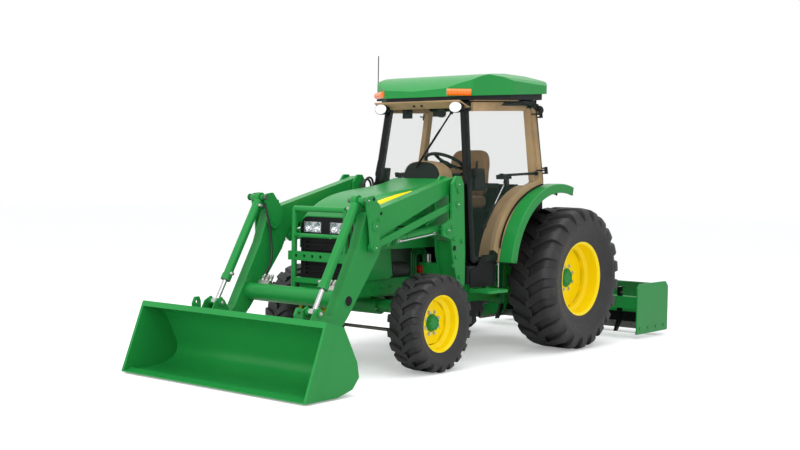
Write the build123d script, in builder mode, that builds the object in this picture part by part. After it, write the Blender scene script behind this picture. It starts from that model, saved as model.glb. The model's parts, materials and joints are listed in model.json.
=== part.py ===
# Compact cab tractor with a self-levelling front loader and a rear box blade.
# Millimetres, +X forward, +Y to the left, +Z up, floor at Z = 0.
# Everything is drawn with X = 0 over the rear axle, and write() moves it so that the origin
# lies on the floor under the middle of the machine's length.
from build123d import *
from math import atan2, cos, degrees, pi, radians, sin, sqrt
import os

os.makedirs("parts", exist_ok=True)

# Overall reach from the rear axle; the front end is set out from the front axle
wheelbase = 1893
boom_pivot = (wheelbase - 388, 1432)
front_reach = boom_pivot[0] + 2065
rear_reach = 1562

# Clearances
pin_gap = 0.05
seat_gap = 0.3
side_gap = 6
door_gap = 6

# Wheels
rear_tyre_radius = 622
rear_tyre_width = 448
rear_wheel_y = 676
rear_flange_radius = 327
rear_seat_radius = 305
rear_rim_width = 350
rear_disc_y = 690
rear_lugs = 22
rear_lug_depth = 30
front_tyre_radius = 375
front_tyre_width = 282
front_wheel_y = 646
front_flange_radius = 222
front_seat_radius = 207
front_rim_width = 216
front_disc_y = 652
front_lugs = 20
front_lug_depth = 22
rim_wall = 8
rim_well_depth = 28
disc_thickness = 12
rear_hub_radius = 76
rear_hub_reach = 28
rear_spindle_radius = 40
front_hub_radius = 62
front_hub_reach = 38
front_spindle_radius = 30
spindle_stop = 10

# Front axle and steering
kingpin_y = 560
kingpin_radius = 25
axle_rise = 95
axle_tube_radius = 52
axle_boss_radius = 48
axle_boss_low = 402
axle_boss_high = 545
knuckle_radius = 60
knuckle_low = 290
hub_face_gap = 0.3
steer_arm = 80
tie_rod_z = 270
tie_rod_radius = 14
tie_pin_radius = 10
tie_eye_radius = 20

# Loader linkage, as (X, Z) pivots
arm_y = 500
boom_width = 90
knee_pivot = (boom_pivot[0] + 995, boom_pivot[1] - 310)
bucket_pivot = (boom_pivot[0] + 1435, boom_pivot[1] - 1094)
tilt_crank = (100, 186)
link_drop = 157
lift_base = (boom_pivot[0] + 122, boom_pivot[1] - 359)
lift_eye = (boom_pivot[0] + 785, boom_pivot[1] - 432)
link_thickness = 24
mast_plate = 20
ear_plate = 12
boom_pin_radius = 24
knee_pin_radius = 22
link_pin_radius = 16
lift_pin_radius = 18
tilt_pin_radius = 18
bucket_pin_radius = 19
pin_flange_radius = 68
lift_barrel_radius = 38
lift_rod_radius = 20
lift_barrel_length = 565
lift_rod_length = 592
tilt_barrel_radius = 34
tilt_rod_radius = 18
tilt_barrel_length = 715
tilt_rod_length = 690
cylinder_eye_radius = 32
cylinder_eye_width = 44
torque_tube = (boom_pivot[0] + 1220, boom_pivot[1] - 842)
torque_tube_radius = 66

# Bucket
bucket_half_width = 931
bucket_clearance = 12
bucket_plate = 10
bucket_side_plate = 14

# Cab, whose side is one plane that narrows forwards and upwards
post_x = 395
post_y = 687
post_z = 1485
cab_sweep = 0.22
cab_lean = 0.135
door_thickness = 10
door_front_low = (1262, 815)
door_front_top = (1180, 2110)
door_top_rear_z = 2155
frame_depth = 50
frame_lap = 15
frame_width = 34
floor_z = 800
floor_thickness = 25
glass_thickness = 8
hinge_heights = (1560, 2040)
hinge_pin_radius = 8
hinge_out = 16
hinge_back = 26
hinge_length = 60

# Rear fenders follow an arc set ahead of the axle
fender_x = 230
fender_z = 700
fender_radius = 750
fender_wall = 12
fender_inner_y = 640
fender_outer_y = 770
arch_inner_y = 430
fender_door_gap = 30

# Roof
roof_rear_x = 172
roof_front_x = 1345
roof_half = 700

# Hood and nose
hood_wall = 8
hood_rear_x = 1268.3
hood_front_x = wheelbase + 499
hood_low = 925

# Rear hitch, as (X, Z) pivots, and the blade behind it
lower_pivot = (-150, 430)
link_reach = (-730, 40)
top_offset = (-120, 455)
rock_rise = 440
lift_share = 0.55
lower_link_y = 270
hitch_ball_y = 342
hitch_pin_radius = 11
blade_half_width = 905
blade_clearance = 46
blade_plate = 12

# Placing and shaping helpers


def side(y):
    return Plane.XZ.offset(-y)


def shifted(point, step, share=1.0):
    return (point[0] + step[0] * share, point[1] + step[1] * share)


def from_x(origin_x, *points):
    """Outline points whose X is measured from a pivot."""
    return [(origin_x + x, z) for x, z in points]


def plate(outline, y_low, y_high, corner=0):
    """A flat plate cut to an (X, Z) outline, with its corners rounded."""
    with BuildPart() as made:
        with BuildSketch(side(y_low)) as face:
            with BuildLine():
                Polyline(*outline, close=True)
            make_face()
            if corner:
                fillet(face.vertices(), corner)
        extrude(amount=-(y_high - y_low))
    return made.part


def cross_pin(point, radius, y_low, y_high):
    """A round bar along Y through an (X, Z) point."""
    with BuildPart() as made:
        with BuildSketch(side(y_low)):
            with Locations(point):
                Circle(radius)
        extrude(amount=-(y_high - y_low))
    return made.part


def post(x, y, radius, z_low, z_high):
    """A round bar along Z."""
    with BuildPart() as made:
        with BuildSketch(Plane.XY.offset(z_low)):
            with Locations((x, y)):
                Circle(radius)
        extrude(amount=z_high - z_low)
    return made.part


def bar(start, end, radius):
    """A round bar between two points in space."""
    run = Vector(*end) - Vector(*start)
    with BuildPart() as made:
        with BuildSketch(Plane(origin=start, z_dir=run)):
            Circle(radius)
        extrude(amount=run.length)
    return made.part


def block(x_low, x_high, y_low, y_high, z_low, z_high, corner=0):
    """A box between two corners, its upright edges rounded."""
    with BuildPart() as made:
        with BuildSketch(Plane.XY.offset(z_low)) as face:
            with Locations(((x_low + x_high) / 2, (y_low + y_high) / 2)):
                Rectangle(x_high - x_low, y_high - y_low)
            if corner:
                fillet(face.vertices(), corner)
        extrude(amount=z_high - z_low)
    return made.part


def joined(*pieces):
    with BuildPart() as made:
        for piece in pieces:
            add(piece)
    return made.part


def cut(body, *tools):
    with BuildPart() as made:
        add(body)
        for tool in tools:
            add(tool, mode=Mode.SUBTRACT)
    return made.part


def other_side(left):
    with BuildPart() as made:
        mirror(left, about=Plane.XZ)
    return made.part


def both_sides(left):
    return joined(left, other_side(left))


def write(piece, name):
    """Move a finished piece to the machine's origin and store it."""
    placed = piece.moved(Location(((rear_reach - front_reach) / 2, 0, 0)))
    placed.label = name
    export_step(placed, "parts/" + name + ".step")


# Wheels


def wheel_plane(x, y, z):
    """Profiles of a wheel on the left: sideways, then out from its axle."""
    return Plane(origin=(x, y, z), x_dir=(0, 1, 0), z_dir=(1, 0, 0))


def wheel_face(x, y, z):
    """A wheel's side face, seen from the machine's right."""
    return Plane(origin=(x, y, z), x_dir=(1, 0, 0), z_dir=(0, -1, 0))


def rim(x, y, z, width, flange, seat, disc_y, hub_radius, hub_low, hub_reach, spindle):
    """A drop-centre rim with a cut-cornered disc and a hub bored for its spindle."""
    half = width / 2
    well = seat - rim_well_depth
    slope = half - rim_wall - 2 * rim_well_depth
    inner = well - rim_wall
    right_half = [
        (slope - rim_well_depth, well),
        (slope, seat),
        (half - rim_wall, seat),
        (half - rim_wall, flange),
        (half, flange),
        (half, seat - rim_wall),
        (slope, seat - rim_wall),
        (slope - rim_well_depth, inner),
    ]
    left_half = [(-across, out) for across, out in reversed(right_half)]
    axle = Axis((x, y, z), (0, 1, 0))
    with BuildPart() as made:
        with BuildSketch(wheel_plane(x, y, z)):
            with BuildLine():
                Polyline(*right_half, *left_half, close=True)
            make_face()
        revolve(axis=axle)
        with BuildSketch(wheel_face(x, disc_y, z)):
            RegularPolygon(well - rim_wall / 2, 8, rotation=22.5)
        extrude(amount=disc_thickness)
        with BuildSketch(wheel_face(x, disc_y + hub_reach, z)):
            Circle(hub_radius)
        extrude(amount=disc_y + hub_reach - hub_low)
        with BuildSketch(wheel_face(x, hub_low, z)):
            Circle(spindle + seat_gap)
        extrude(amount=-(disc_y + hub_reach - hub_low - spindle_stop), mode=Mode.SUBTRACT)
    return made.part


def tyre(x, y, z, radius, width, flange, seat, rim_width, lugs, depth):
    """A tyre in flat facets, with a row of slanting lugs on each side of its middle."""
    wall = radius - flange
    half = width / 2
    bead = rim_width / 2 - rim_wall - seat_gap
    pitch = 2 * pi / lugs
    widen = 1 / cos(pitch / 2)
    brow = radius - wall * 0.13
    # From the side wall to the middle: lug top, ground beside it, then lead and half width in pitches
    stations = [
        ((half, radius - wall * 0.38), (half, radius - wall * 0.38), 0.0, 0.23),
        ((half - wall * 0.03, brow), (half - depth * 0.8, brow - depth * 0.4), 0.02, 0.25),
        ((half - wall * 0.15, radius), (half - wall * 0.2, radius - depth), 0.05, 0.25),
        ((half * 0.05, radius), (half * 0.05, radius - depth), 0.7, 0.2),
    ]
    foot_spread = 1.16
    plain_rings = [
        (half - wall * 0.09, (flange + wall * 0.3) * widen),
        (bead, (flange + seat_gap) * widen),
        (bead, (seat + seat_gap) * widen),
    ]

    def corner(across, out, turn):
        return (x + out * sin(turn), y + across, z + out * cos(turn))

    facets = []

    def facet(*points):
        facets.append(Face(Wire.make_polygon(points, close=True)))

    def strip(first, second):
        """Facets between two lines of corners that have as many corners each."""
        for a, b, c, d in zip(first, first[1:], second[1:], second):
            if a != d:
                facet(a, b, d)
            if b != c:
                facet(b, c, d)

    middle_rings = []
    bore_rings = []
    for hand in (1, -1):
        start = 0 if hand > 0 else pitch / 2

        def spot(station, place, column, top):
            head, ground, lead, wide = stations[station]
            across, out = head if top else ground
            spread = wide if top or not station else wide * foot_spread
            return corner(hand * across, out, start + pitch * (place + lead + column * spread))

        for place in range(lugs):
            lines = []
            for column, top in ((-1, False), (-1, True), (1, True), (1, False)):
                lines.append([spot(station, place, column, top) for station in range(4)])
            lines.append([spot(station, place + 1, -1, False) for station in range(4)])
            for first, second in zip(lines, lines[1:]):
                strip(first, second)
            facet(lines[0][3], lines[1][3], lines[2][3])
            facet(lines[0][3], lines[2][3], lines[3][3])
        columns = [(place, column) for place in range(lugs) for column in (-1, 1)]
        rim_turns = [start + pitch * (place + column * stations[0][3]) for place, column in columns]
        side_ring = [(turn, corner(hand * half, stations[0][0][1], turn)) for turn in rim_turns]
        inner_turns = [start + pitch * (place + 0.5) for place in range(lugs)]
        rings = [[(turn, corner(hand * a, out, turn)) for turn in inner_turns] for a, out in plain_rings]
        for first, second in zip([side_ring, *rings], rings):
            stitch(first, second, facet)
        bore_rings.append(rings[-1])
        lead, wide = stations[3][2], stations[3][3] * foot_spread
        middle_turns = [start + pitch * (place + lead + column * wide) for place, column in columns]
        across, out = stations[3][1]
        middle_rings.append([(turn, corner(hand * across, out, turn)) for turn in middle_turns])
    stitch(*middle_rings, facet)
    stitch(*bore_rings, facet)
    with BuildPart() as made:
        add(Solid(Shell(facets)), clean=False)
    return made.part


def stitch(first, second, facet):
    """Facets between two closed rings of (turn, corner), taken in the order of their turns."""
    full = 2 * pi
    first = sorted((turn % full, point) for turn, point in first)
    second = sorted((turn % full, point) for turn, point in second)
    i = 0
    j = 0
    while i < len(first) or j < len(second):
        a = first[i % len(first)][1]
        b = second[j % len(second)][1]
        next_a = first[(i + 1) % len(first)][0] + full * ((i + 1) // len(first))
        next_b = second[(j + 1) % len(second)][0] + full * ((j + 1) // len(second))
        if j >= len(second) or (i < len(first) and next_a <= next_b):
            facet(a, first[(i + 1) % len(first)][1], b)
            i += 1
        else:
            facet(a, second[(j + 1) % len(second)][1], b)
            j += 1


rear_hub_low = rear_disc_y - disc_thickness - 23
front_hub_low = front_disc_y - disc_thickness - 15
rear_rim = rim(
    0,
    rear_wheel_y,
    rear_tyre_radius,
    rear_rim_width,
    rear_flange_radius,
    rear_seat_radius,
    rear_disc_y,
    rear_hub_radius,
    rear_hub_low,
    rear_hub_reach,
    rear_spindle_radius,
)
front_rim = rim(
    wheelbase,
    front_wheel_y,
    front_tyre_radius,
    front_rim_width,
    front_flange_radius,
    front_seat_radius,
    front_disc_y,
    front_hub_radius,
    front_hub_low,
    front_hub_reach,
    front_spindle_radius,
)
rear_tyre = tyre(
    0,
    rear_wheel_y,
    rear_tyre_radius,
    rear_tyre_radius,
    rear_tyre_width,
    rear_flange_radius,
    rear_seat_radius,
    rear_rim_width,
    rear_lugs,
    rear_lug_depth,
)
front_tyre = tyre(
    wheelbase,
    front_wheel_y,
    front_tyre_radius,
    front_tyre_radius,
    front_tyre_width,
    front_flange_radius,
    front_seat_radius,
    front_rim_width,
    front_lugs,
    front_lug_depth,
)
for name, left in (
    ("rear_rim", rear_rim),
    ("rear_tyre", rear_tyre),
    ("front_rim", front_rim),
    ("front_tyre", front_tyre),
):
    write(left, name + "_left")
    write(other_side(left), name + "_right")

# Drive line: engine block, transmission with rear axle, and the power shaft

engine_front = wheelbase + 167
engine_rear = 1440
engine_half = 205
engine = joined(
    block(engine_rear, engine_front, -engine_half, engine_half, 610, 960, 30),
    block(engine_rear + 60, wheelbase - 120, -150, 150, 480, 610, 40),
    block(engine_rear + 40, engine_front - 80, -120, 120, 960, 1080, 40),
)
write(engine, "engine")

case_half = 190
axle_end = rear_hub_low - hub_face_gap
pto_x = -330
pto_z = 560
pto_radius = 17.4
pto_length = 80
axle_housing = joined(
    cross_pin((0, rear_tyre_radius), 105, 150, 330),
    cross_pin((0, rear_tyre_radius), 80, 330, axle_end - 40),
    cross_pin((0, rear_tyre_radius), 100, axle_end - 40, axle_end),
    cross_pin((0, rear_tyre_radius), rear_spindle_radius, axle_end, rear_disc_y + 6),
)
transmission = joined(
    block(260, engine_rear, -case_half + 20, case_half - 20, 420, 720, 40),
    block(pto_x, 260, -case_half - 30, case_half + 30, 380, 790, 40),
    block(lower_pivot[0] + 50, 160, -170, 170, 790, 900, 30),
    bar((pto_x, 0, pto_z), (pto_x - pto_length, 0, pto_z), pto_radius),
    both_sides(axle_housing),
)
write(transmission, "transmission")

rail_y = engine_half + seat_gap
rail_width = 40
rail_low = 565
rail_high = 690
frame_front = wheelbase + 517
axle_pad_z = 543
bolster_low = 546
bolster_half = 110
front_frame = joined(
    both_sides(block(engine_rear - 120, frame_front, rail_y, rail_y + rail_width, rail_low, rail_high)),
    block(engine_front + 20, frame_front, -rail_y, rail_y, bolster_low, rail_high),
    block(wheelbase - bolster_half, wheelbase + bolster_half, -rail_y - 5, rail_y + 5, bolster_low, 600),
    block(wheelbase - 60, wheelbase + 60, -70, 70, axle_pad_z, bolster_low),
)
write(front_frame, "front_frame")

# Front axle, knuckles and tie rod

axle_z = front_tyre_radius + axle_rise
axle_left = joined(
    cross_pin((wheelbase, axle_z), axle_tube_radius, 0, kingpin_y),
    cross_pin((wheelbase, axle_z), 72, 0, 150),
    post(wheelbase, kingpin_y, axle_boss_radius, axle_boss_low, axle_boss_high),
    post(wheelbase, kingpin_y, kingpin_radius, knuckle_low + 40, axle_boss_low),
)
front_axle = joined(
    axle_left,
    other_side(axle_left),
    block(wheelbase - 45, wheelbase + 45, -70, 70, axle_z, axle_pad_z),
)
write(front_axle, "front_axle")

knuckle_high = axle_boss_low - seat_gap
hub_face = front_hub_low - hub_face_gap
tie_x = wheelbase - steer_arm
knuckle = joined(
    post(wheelbase, kingpin_y, knuckle_radius, knuckle_low, knuckle_high),
    block(wheelbase - 48, wheelbase + 48, kingpin_y, hub_face - 4, knuckle_low + 8, knuckle_high - 8),
    cross_pin((wheelbase, front_tyre_radius), 82, hub_face - 12, hub_face),
    cross_pin((wheelbase, front_tyre_radius), front_spindle_radius, hub_face, front_disc_y + 20),
    block(tie_x - 18, wheelbase, kingpin_y - 22, kingpin_y + 22, tie_rod_z + 18, tie_rod_z + 40),
    post(tie_x, kingpin_y, tie_pin_radius, tie_rod_z - 16, tie_rod_z + 18),
)
knuckle = cut(
    knuckle,
    post(wheelbase, kingpin_y, kingpin_radius + pin_gap, knuckle_low + 39, knuckle_high),
)
write(knuckle, "knuckle_left")
write(other_side(knuckle), "knuckle_right")

tie_eye = cut(
    joined(
        post(tie_x, kingpin_y, tie_eye_radius, tie_rod_z - 12, tie_rod_z + 12),
        bar((tie_x, 0, tie_rod_z), (tie_x, kingpin_y - tie_eye_radius + 4, tie_rod_z), tie_rod_radius - 3),
        bar((tie_x, 0, tie_rod_z), (tie_x, kingpin_y - 90, tie_rod_z), tie_rod_radius),
    ),
    post(tie_x, kingpin_y, tie_pin_radius + pin_gap, tie_rod_z - 20, tie_rod_z + 20),
)
write(both_sides(tie_eye), "tie_rod")

# Hood, grille and headlights

hood_run = hood_front_x - hood_rear_x
hood_sections = [
    (hood_rear_x, 338, 1476, 105),
    (hood_rear_x + hood_run * 0.473, 325, 1380, 105),
    (hood_rear_x + hood_run * 0.829, 302, 1288, 100),
    (hood_front_x, 262, 1175, 85),
]


def hood_form(wall):
    """The hood's outer form, or its hollow when a wall is given."""
    with BuildPart() as made:
        for x, half, top, corner in hood_sections:
            with BuildSketch(Plane.YZ.offset(x)) as section:
                with Locations((0, (hood_low - wall + top - wall) / 2)):
                    Rectangle(2 * (half - wall), top - hood_low)
                fillet(section.vertices().group_by(Axis.Y)[-1], corner - wall)
        loft()
    return made.part


hood = cut(hood_form(0), hood_form(hood_wall))
nose_low = rail_high + seat_gap
nose_rear_x = wheelbase + 7
nose_front_x = hood_front_x - 62
nose_panel = plate(
    [
        (nose_rear_x, nose_low + 20),
        (nose_rear_x + 30, hood_low + 4),
        (nose_front_x, hood_low + 4),
        (nose_front_x, nose_low),
        (nose_rear_x + 40, nose_low),
    ],
    262,
    262 + hood_wall,
)
nose_shelf = block(nose_rear_x + 40, nose_front_x, 262, 322, hood_low, hood_low + 8)
hood = joined(hood, both_sides(nose_panel), both_sides(nose_shelf))
write(hood, "hood")

grille_front = hood_front_x - 4
grille_inset = hood_wall + seat_gap
nose_half, nose_top, nose_corner = hood_sections[-1][1:]
with BuildPart() as grille_body:
    with BuildSketch(Plane.YZ.offset(grille_front)) as face:
        with Locations((0, (nose_low + nose_top - grille_inset) / 2)):
            Rectangle(2 * (nose_half - grille_inset), nose_top - grille_inset - nose_low)
        fillet(face.vertices().group_by(Axis.Y)[-1], nose_corner - grille_inset)
    extrude(amount=-40)
slots = [
    block(grille_front - 14, grille_front + 10, -200, 200, nose_low + 30 + 34 * row, nose_low + 50 + 34 * row)
    for row in range(8)
]
lamp_y, lamp_z = (45, 225), (1045, 1130)
lamp_pocket = block(grille_front - 30, grille_front + 10, *lamp_y, *lamp_z)
grille = cut(grille_body.part, *slots, both_sides(lamp_pocket))
write(grille, "grille")
headlight = block(
    grille_front - 30,
    grille_front + 2,
    lamp_y[0] + seat_gap,
    lamp_y[1] - seat_gap,
    lamp_z[0] + seat_gap,
    lamp_z[1] - seat_gap,
    12,
)
write(both_sides(headlight), "headlights")

# Cab side plane and what is cut to it

door_plane = Plane(
    origin=(post_x, post_y, post_z),
    x_dir=(1, -cab_sweep, 0),
    z_dir=(-cab_sweep, -1, -cab_lean),
)


def side_y(x, z):
    """How far out the doors' outer face lies."""
    return post_y - cab_sweep * (x - post_x) - cab_lean * (z - post_z)


def on_side(x, z):
    flat = door_plane.to_local_coords(Vector(x, side_y(x, z), z))
    return (flat.X, flat.Y)


def side_panel(grow, depth, thickness, corner):
    """The door's outline, grown or shrunk, as a panel set in from the door's outer face."""
    arc = fender_radius + fender_door_gap - grow
    low = door_front_low[1] - grow
    back = post_x - grow
    arc_low = (fender_x + sqrt(arc**2 - (low - fender_z) ** 2), low)
    arc_high = (back, fender_z + sqrt(arc**2 - (back - fender_x) ** 2))
    middle = radians(50)
    arc_middle = (fender_x + arc * cos(middle), fender_z + arc * sin(middle))
    with BuildPart() as made:
        with BuildSketch(door_plane.offset(depth)) as face:
            with BuildLine():
                Polyline(
                    on_side(*arc_low),
                    on_side(door_front_low[0] + grow, low),
                    on_side(door_front_top[0] + grow, door_front_top[1] + grow),
                    on_side(back, door_top_rear_z + grow),
                    on_side(*arc_high),
                )
                ThreePointArc(on_side(*arc_high), on_side(*arc_middle), on_side(*arc_low))
            make_face()
            fillet(face.vertices(), corner)
        extrude(amount=thickness)
    return made.part


hinge_axis = Vector(0, -cab_lean, 1).normalized()
outward = Vector(cab_sweep, 1, cab_lean).normalized()


def hinge_point(z, out=hinge_out):
    """A point on the door's hinge axis."""
    x = post_x - hinge_back
    base = Vector(x, side_y(x, z), z)
    return base + outward * out


door_glass = side_panel(0, 0, door_thickness, 30)
door_fittings = []
hinge_pins = []
for height in hinge_heights:
    middle = hinge_point(height)
    low = middle - hinge_axis * (hinge_length / 2)
    high = middle + hinge_axis * (hinge_length / 2)
    third = hinge_length / 6
    sleeve_low = middle - hinge_axis * third
    sleeve_high = middle + hinge_axis * third
    strap_x = post_x + 75
    strap_end = Vector(strap_x, side_y(strap_x, height), height) + outward * 7
    sleeve = bar(tuple(sleeve_low), tuple(sleeve_high), 15)
    strap = bar(tuple(middle), tuple(strap_end), 7 - seat_gap)
    bore = bar(tuple(low), tuple(high), hinge_pin_radius + pin_gap)
    door_fittings.append(cut(joined(sleeve, strap), bore))
    pin = bar(tuple(low), tuple(high), hinge_pin_radius)
    lower_stub = bar(tuple(low), tuple(sleeve_low - hinge_axis * 1), 15)
    upper_stub = bar(tuple(sleeve_high + hinge_axis * 1), tuple(high), 15)
    inside = outward * (hinge_out + door_thickness + door_gap + 10)
    forward = Vector(18, 0, 0)
    lower_arm = bar(tuple(low + hinge_axis * 9), tuple(low + hinge_axis * 9 - inside + forward), 8)
    upper_arm = bar(tuple(high - hinge_axis * 9), tuple(high - hinge_axis * 9 - inside + forward), 8)
    hinge_pins.append(joined(pin, lower_stub, upper_stub, lower_arm, upper_arm))
handle_base = Vector(1165, side_y(1165, 1500), 1500)
handle_low = handle_base + outward * 20
handle_high = handle_low + Vector(-20, 20 * cab_sweep - 120 * cab_lean, 120)
handle_stub = bar(tuple(handle_base + outward * seat_gap), tuple(handle_low), 14)
door_fittings.append(joined(handle_stub, bar(tuple(handle_low), tuple(handle_high), 9)))
door_fittings = joined(*door_fittings)
write(door_glass, "door_left")
write(other_side(door_glass), "door_right")
write(door_fittings, "door_left_fittings")
write(other_side(door_fittings), "door_right_fittings")

ring_depth = door_thickness + door_gap
ring = cut(
    side_panel(frame_lap, ring_depth, frame_depth, 40),
    side_panel(frame_lap - frame_width - frame_lap, ring_depth - 5, frame_depth + 10, 20),
)
header_front = joined(
    block(1140, 1190, -405, 405, 2085, 2122),
    block(1212, 1268, -470, 470, 1380, 1440),
)
header_rear = block(post_x, post_x + 40, -555, 555, 2085, 2160)
cab_frame = joined(both_sides(joined(ring, *hinge_pins)), header_front, header_rear)
write(cab_frame, "cab_frame")

# Cab glass: windscreen and rear window

screen_low = (1252, 1441.3)
screen_high = (1172, 2084.7)
screen_run = Vector(screen_high[0] - screen_low[0], 0, screen_high[1] - screen_low[1])
screen_out = Vector(screen_run.Z, 0, -screen_run.X).normalized()
with BuildPart() as windscreen:
    with BuildSketch(Plane(origin=(screen_low[0], 0, screen_low[1]), x_dir=(0, 1, 0), z_dir=screen_out)):
        with BuildLine():
            Polyline((-430, 0), (430, 0), (362, screen_run.length), (-362, screen_run.length), close=True)
        make_face()
    extrude(amount=-glass_thickness)
rear_glass_x = post_x + 12
with BuildPart() as rear_window:
    with BuildSketch(Plane.YZ.offset(rear_glass_x)):
        with BuildLine():
            Polyline((-610, 1440), (610, 1440), (528, 2084.7), (-528, 2084.7), close=True)
        make_face()
    extrude(amount=glass_thickness)
cab_glass = joined(windscreen.part, rear_window.part)
write(cab_glass, "cab_glass")

# Fenders, and the arches that close the cab over the wheels


def arc_band(outer, wall, start, end, y_low, y_high):
    """A curved sheet round the fenders' centre, between two angles in degrees."""
    middle = radians((start + end) / 2)
    first = radians(start)
    last = radians(end)

    def at(radius, turn):
        return (fender_x + radius * cos(turn), fender_z + radius * sin(turn))

    inner = outer - wall
    with BuildPart() as made:
        with BuildSketch(side(y_low)):
            with BuildLine():
                ThreePointArc(at(outer, first), at(outer, middle), at(outer, last))
                Line(at(outer, last), at(inner, last))
                ThreePointArc(at(inner, last), at(inner, middle), at(inner, first))
                Line(at(inner, first), at(outer, first))
            make_face()
        extrude(amount=-(y_high - y_low))
    return made.part


fender_start = degrees(atan2(floor_z - fender_z, fender_radius))
fender_end = 106
lip_drop = 78
fender = joined(
    arc_band(fender_radius, fender_wall, fender_start, fender_end, fender_inner_y + seat_gap, fender_outer_y),
    arc_band(fender_radius, lip_drop, fender_start, fender_end, fender_outer_y - fender_wall, fender_outer_y),
)
with BuildPart() as rounded_fender:
    add(fender)
    crown = rounded_fender.edges().filter_by(GeomType.CIRCLE).sort_by(Axis.Y)[-4:]
    fillet(crown.sort_by(SortBy.RADIUS)[-1:], fender_wall * 0.9)
write(both_sides(rounded_fender.part), "fenders")

arch_end = degrees(atan2(sqrt(fender_radius**2 - (post_x - fender_x) ** 2), post_x - fender_x))
arch_shell = arc_band(fender_radius, fender_wall, fender_start, arch_end, arch_inner_y, fender_inner_y)
arch_points = [
    (fender_x + (fender_radius - 2) * cos(radians(turn)), fender_z + (fender_radius - 2) * sin(radians(turn)))
    for turn in (fender_start, 25, 42, 60, arch_end)
]
arch_wall = plate([(post_x, floor_z), *arch_points], arch_inner_y, arch_inner_y + 15)
arch = cut(joined(arch_shell, arch_wall), both_sides(ring))
write(both_sides(arch), "arch_trim")

# Cab floor with firewall and rear wall, seat, dash and steering wheel

floor_front = 1255
floor_half = 545
floor_low = floor_z - floor_thickness
cab_floor = joined(
    block(post_x, floor_front, -arch_inner_y + 1, arch_inner_y - 1, floor_low, floor_z),
    block(fender_x + fender_radius + 5, floor_front, -floor_half, floor_half, floor_low, floor_z),
    block(floor_front - 20, floor_front, -480, 480, floor_z, 1379),
    block(post_x, post_x + 10, -arch_inner_y + 1, arch_inner_y - 1, floor_z, 1439),
    block(600, 900, -160, 160, 720, floor_z),
)
cab_floor = cut(cab_floor, both_sides(ring))
write(cab_floor, "cab_floor")

seat_x = 430
seat_base = joined(
    block(seat_x + 60, seat_x + 430, -170, 170, floor_z, 1180, 40),
    block(seat_x + 20, seat_x + 470, -220, 220, 1180, 1220, 40),
    both_sides(block(seat_x + 90, seat_x + 420, 262, 322, 1400, 1445, 20)),
    both_sides(block(seat_x + 90, seat_x + 130, 250, 322, 1190, 1410)),
    both_sides(block(seat_x + 90, seat_x + 130, 200, 322, 1185, 1218)),
)
write(seat_base, "seat_base")
seat_cushion = block(seat_x + 60, seat_x + 500, -235, 235, 1220 + seat_gap, 1330, 60)
write(seat_cushion, "seat_cushion")
seat_back = plate(
    from_x(seat_x, (55, 1222), (58, 1330.3), (150, 1331), (95, 1745), (5, 1745), (-5, 1222)),
    -225,
    225,
)
write(seat_back, "seat_back")

wheel_tilt = Vector(-0.5, 0, 0.866)
wheel_centre = Vector(880, 0, 1600)
column_foot = wheel_centre - wheel_tilt * 260
with BuildPart(Plane(origin=tuple(wheel_centre), z_dir=tuple(wheel_tilt))) as steering_wheel:
    Torus(185, 15)
    with PolarLocations(92, 3):
        Cylinder(9, 184, rotation=(0, 90, 0))
    with Locations((0, 0, -124)):
        Cylinder(32, 272)
write(steering_wheel.part, "steering_wheel")
dash = plate(
    [(980, floor_z), (1010, 1440), (1040, 1600), (1215, 1560), (1234.7, 1379.5), (1234.7, floor_z)],
    -190,
    190,
)
dash = cut(dash, bar(tuple(column_foot - wheel_tilt * 40), tuple(wheel_centre), 33), cab_frame)
write(dash, "dash_console")

# Roof: a dark band with the lining, and the painted top


roof_slope = (door_top_rear_z - door_front_top[1]) / (door_front_top[0] - post_x + 2 * frame_lap)
roof_line = max(corner.Z + roof_slope * corner.X for corner in cab_frame.vertices()) + seat_gap


def under_roof(x):
    """The height of the band's underside, which rises towards the rear."""
    return roof_line - roof_slope * x


def roof_seam(x):
    """The height where the painted top meets the band, which grows deeper towards the rear."""
    return under_roof(x) + 28 + (roof_front_x - x) * 0.021


def roof_plan(inset):
    """Half of the roof's outline from above, and its mirror image."""
    half = [
        (roof_front_x - inset, 0),
        (1322 - inset, 328),
        (1205 - inset, 512 - inset),
        (760, 612 - inset),
        (roof_rear_x + 90 + inset, 622 - inset),
        (roof_rear_x + inset, 540 - inset),
    ]
    return half + [(x, -y) for x, y in reversed(half[1:])]


def roof_column(inset, corner):
    """The roof's outline as an upright block, to be cut to its side view."""
    with BuildPart() as made:
        with BuildSketch(Plane.XY.offset(2050)) as face:
            with BuildLine():
                Polyline(*roof_plan(inset), close=True)
            make_face()
            fillet(face.vertices(), corner)
        extrude(amount=400)
    return made.part


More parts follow.
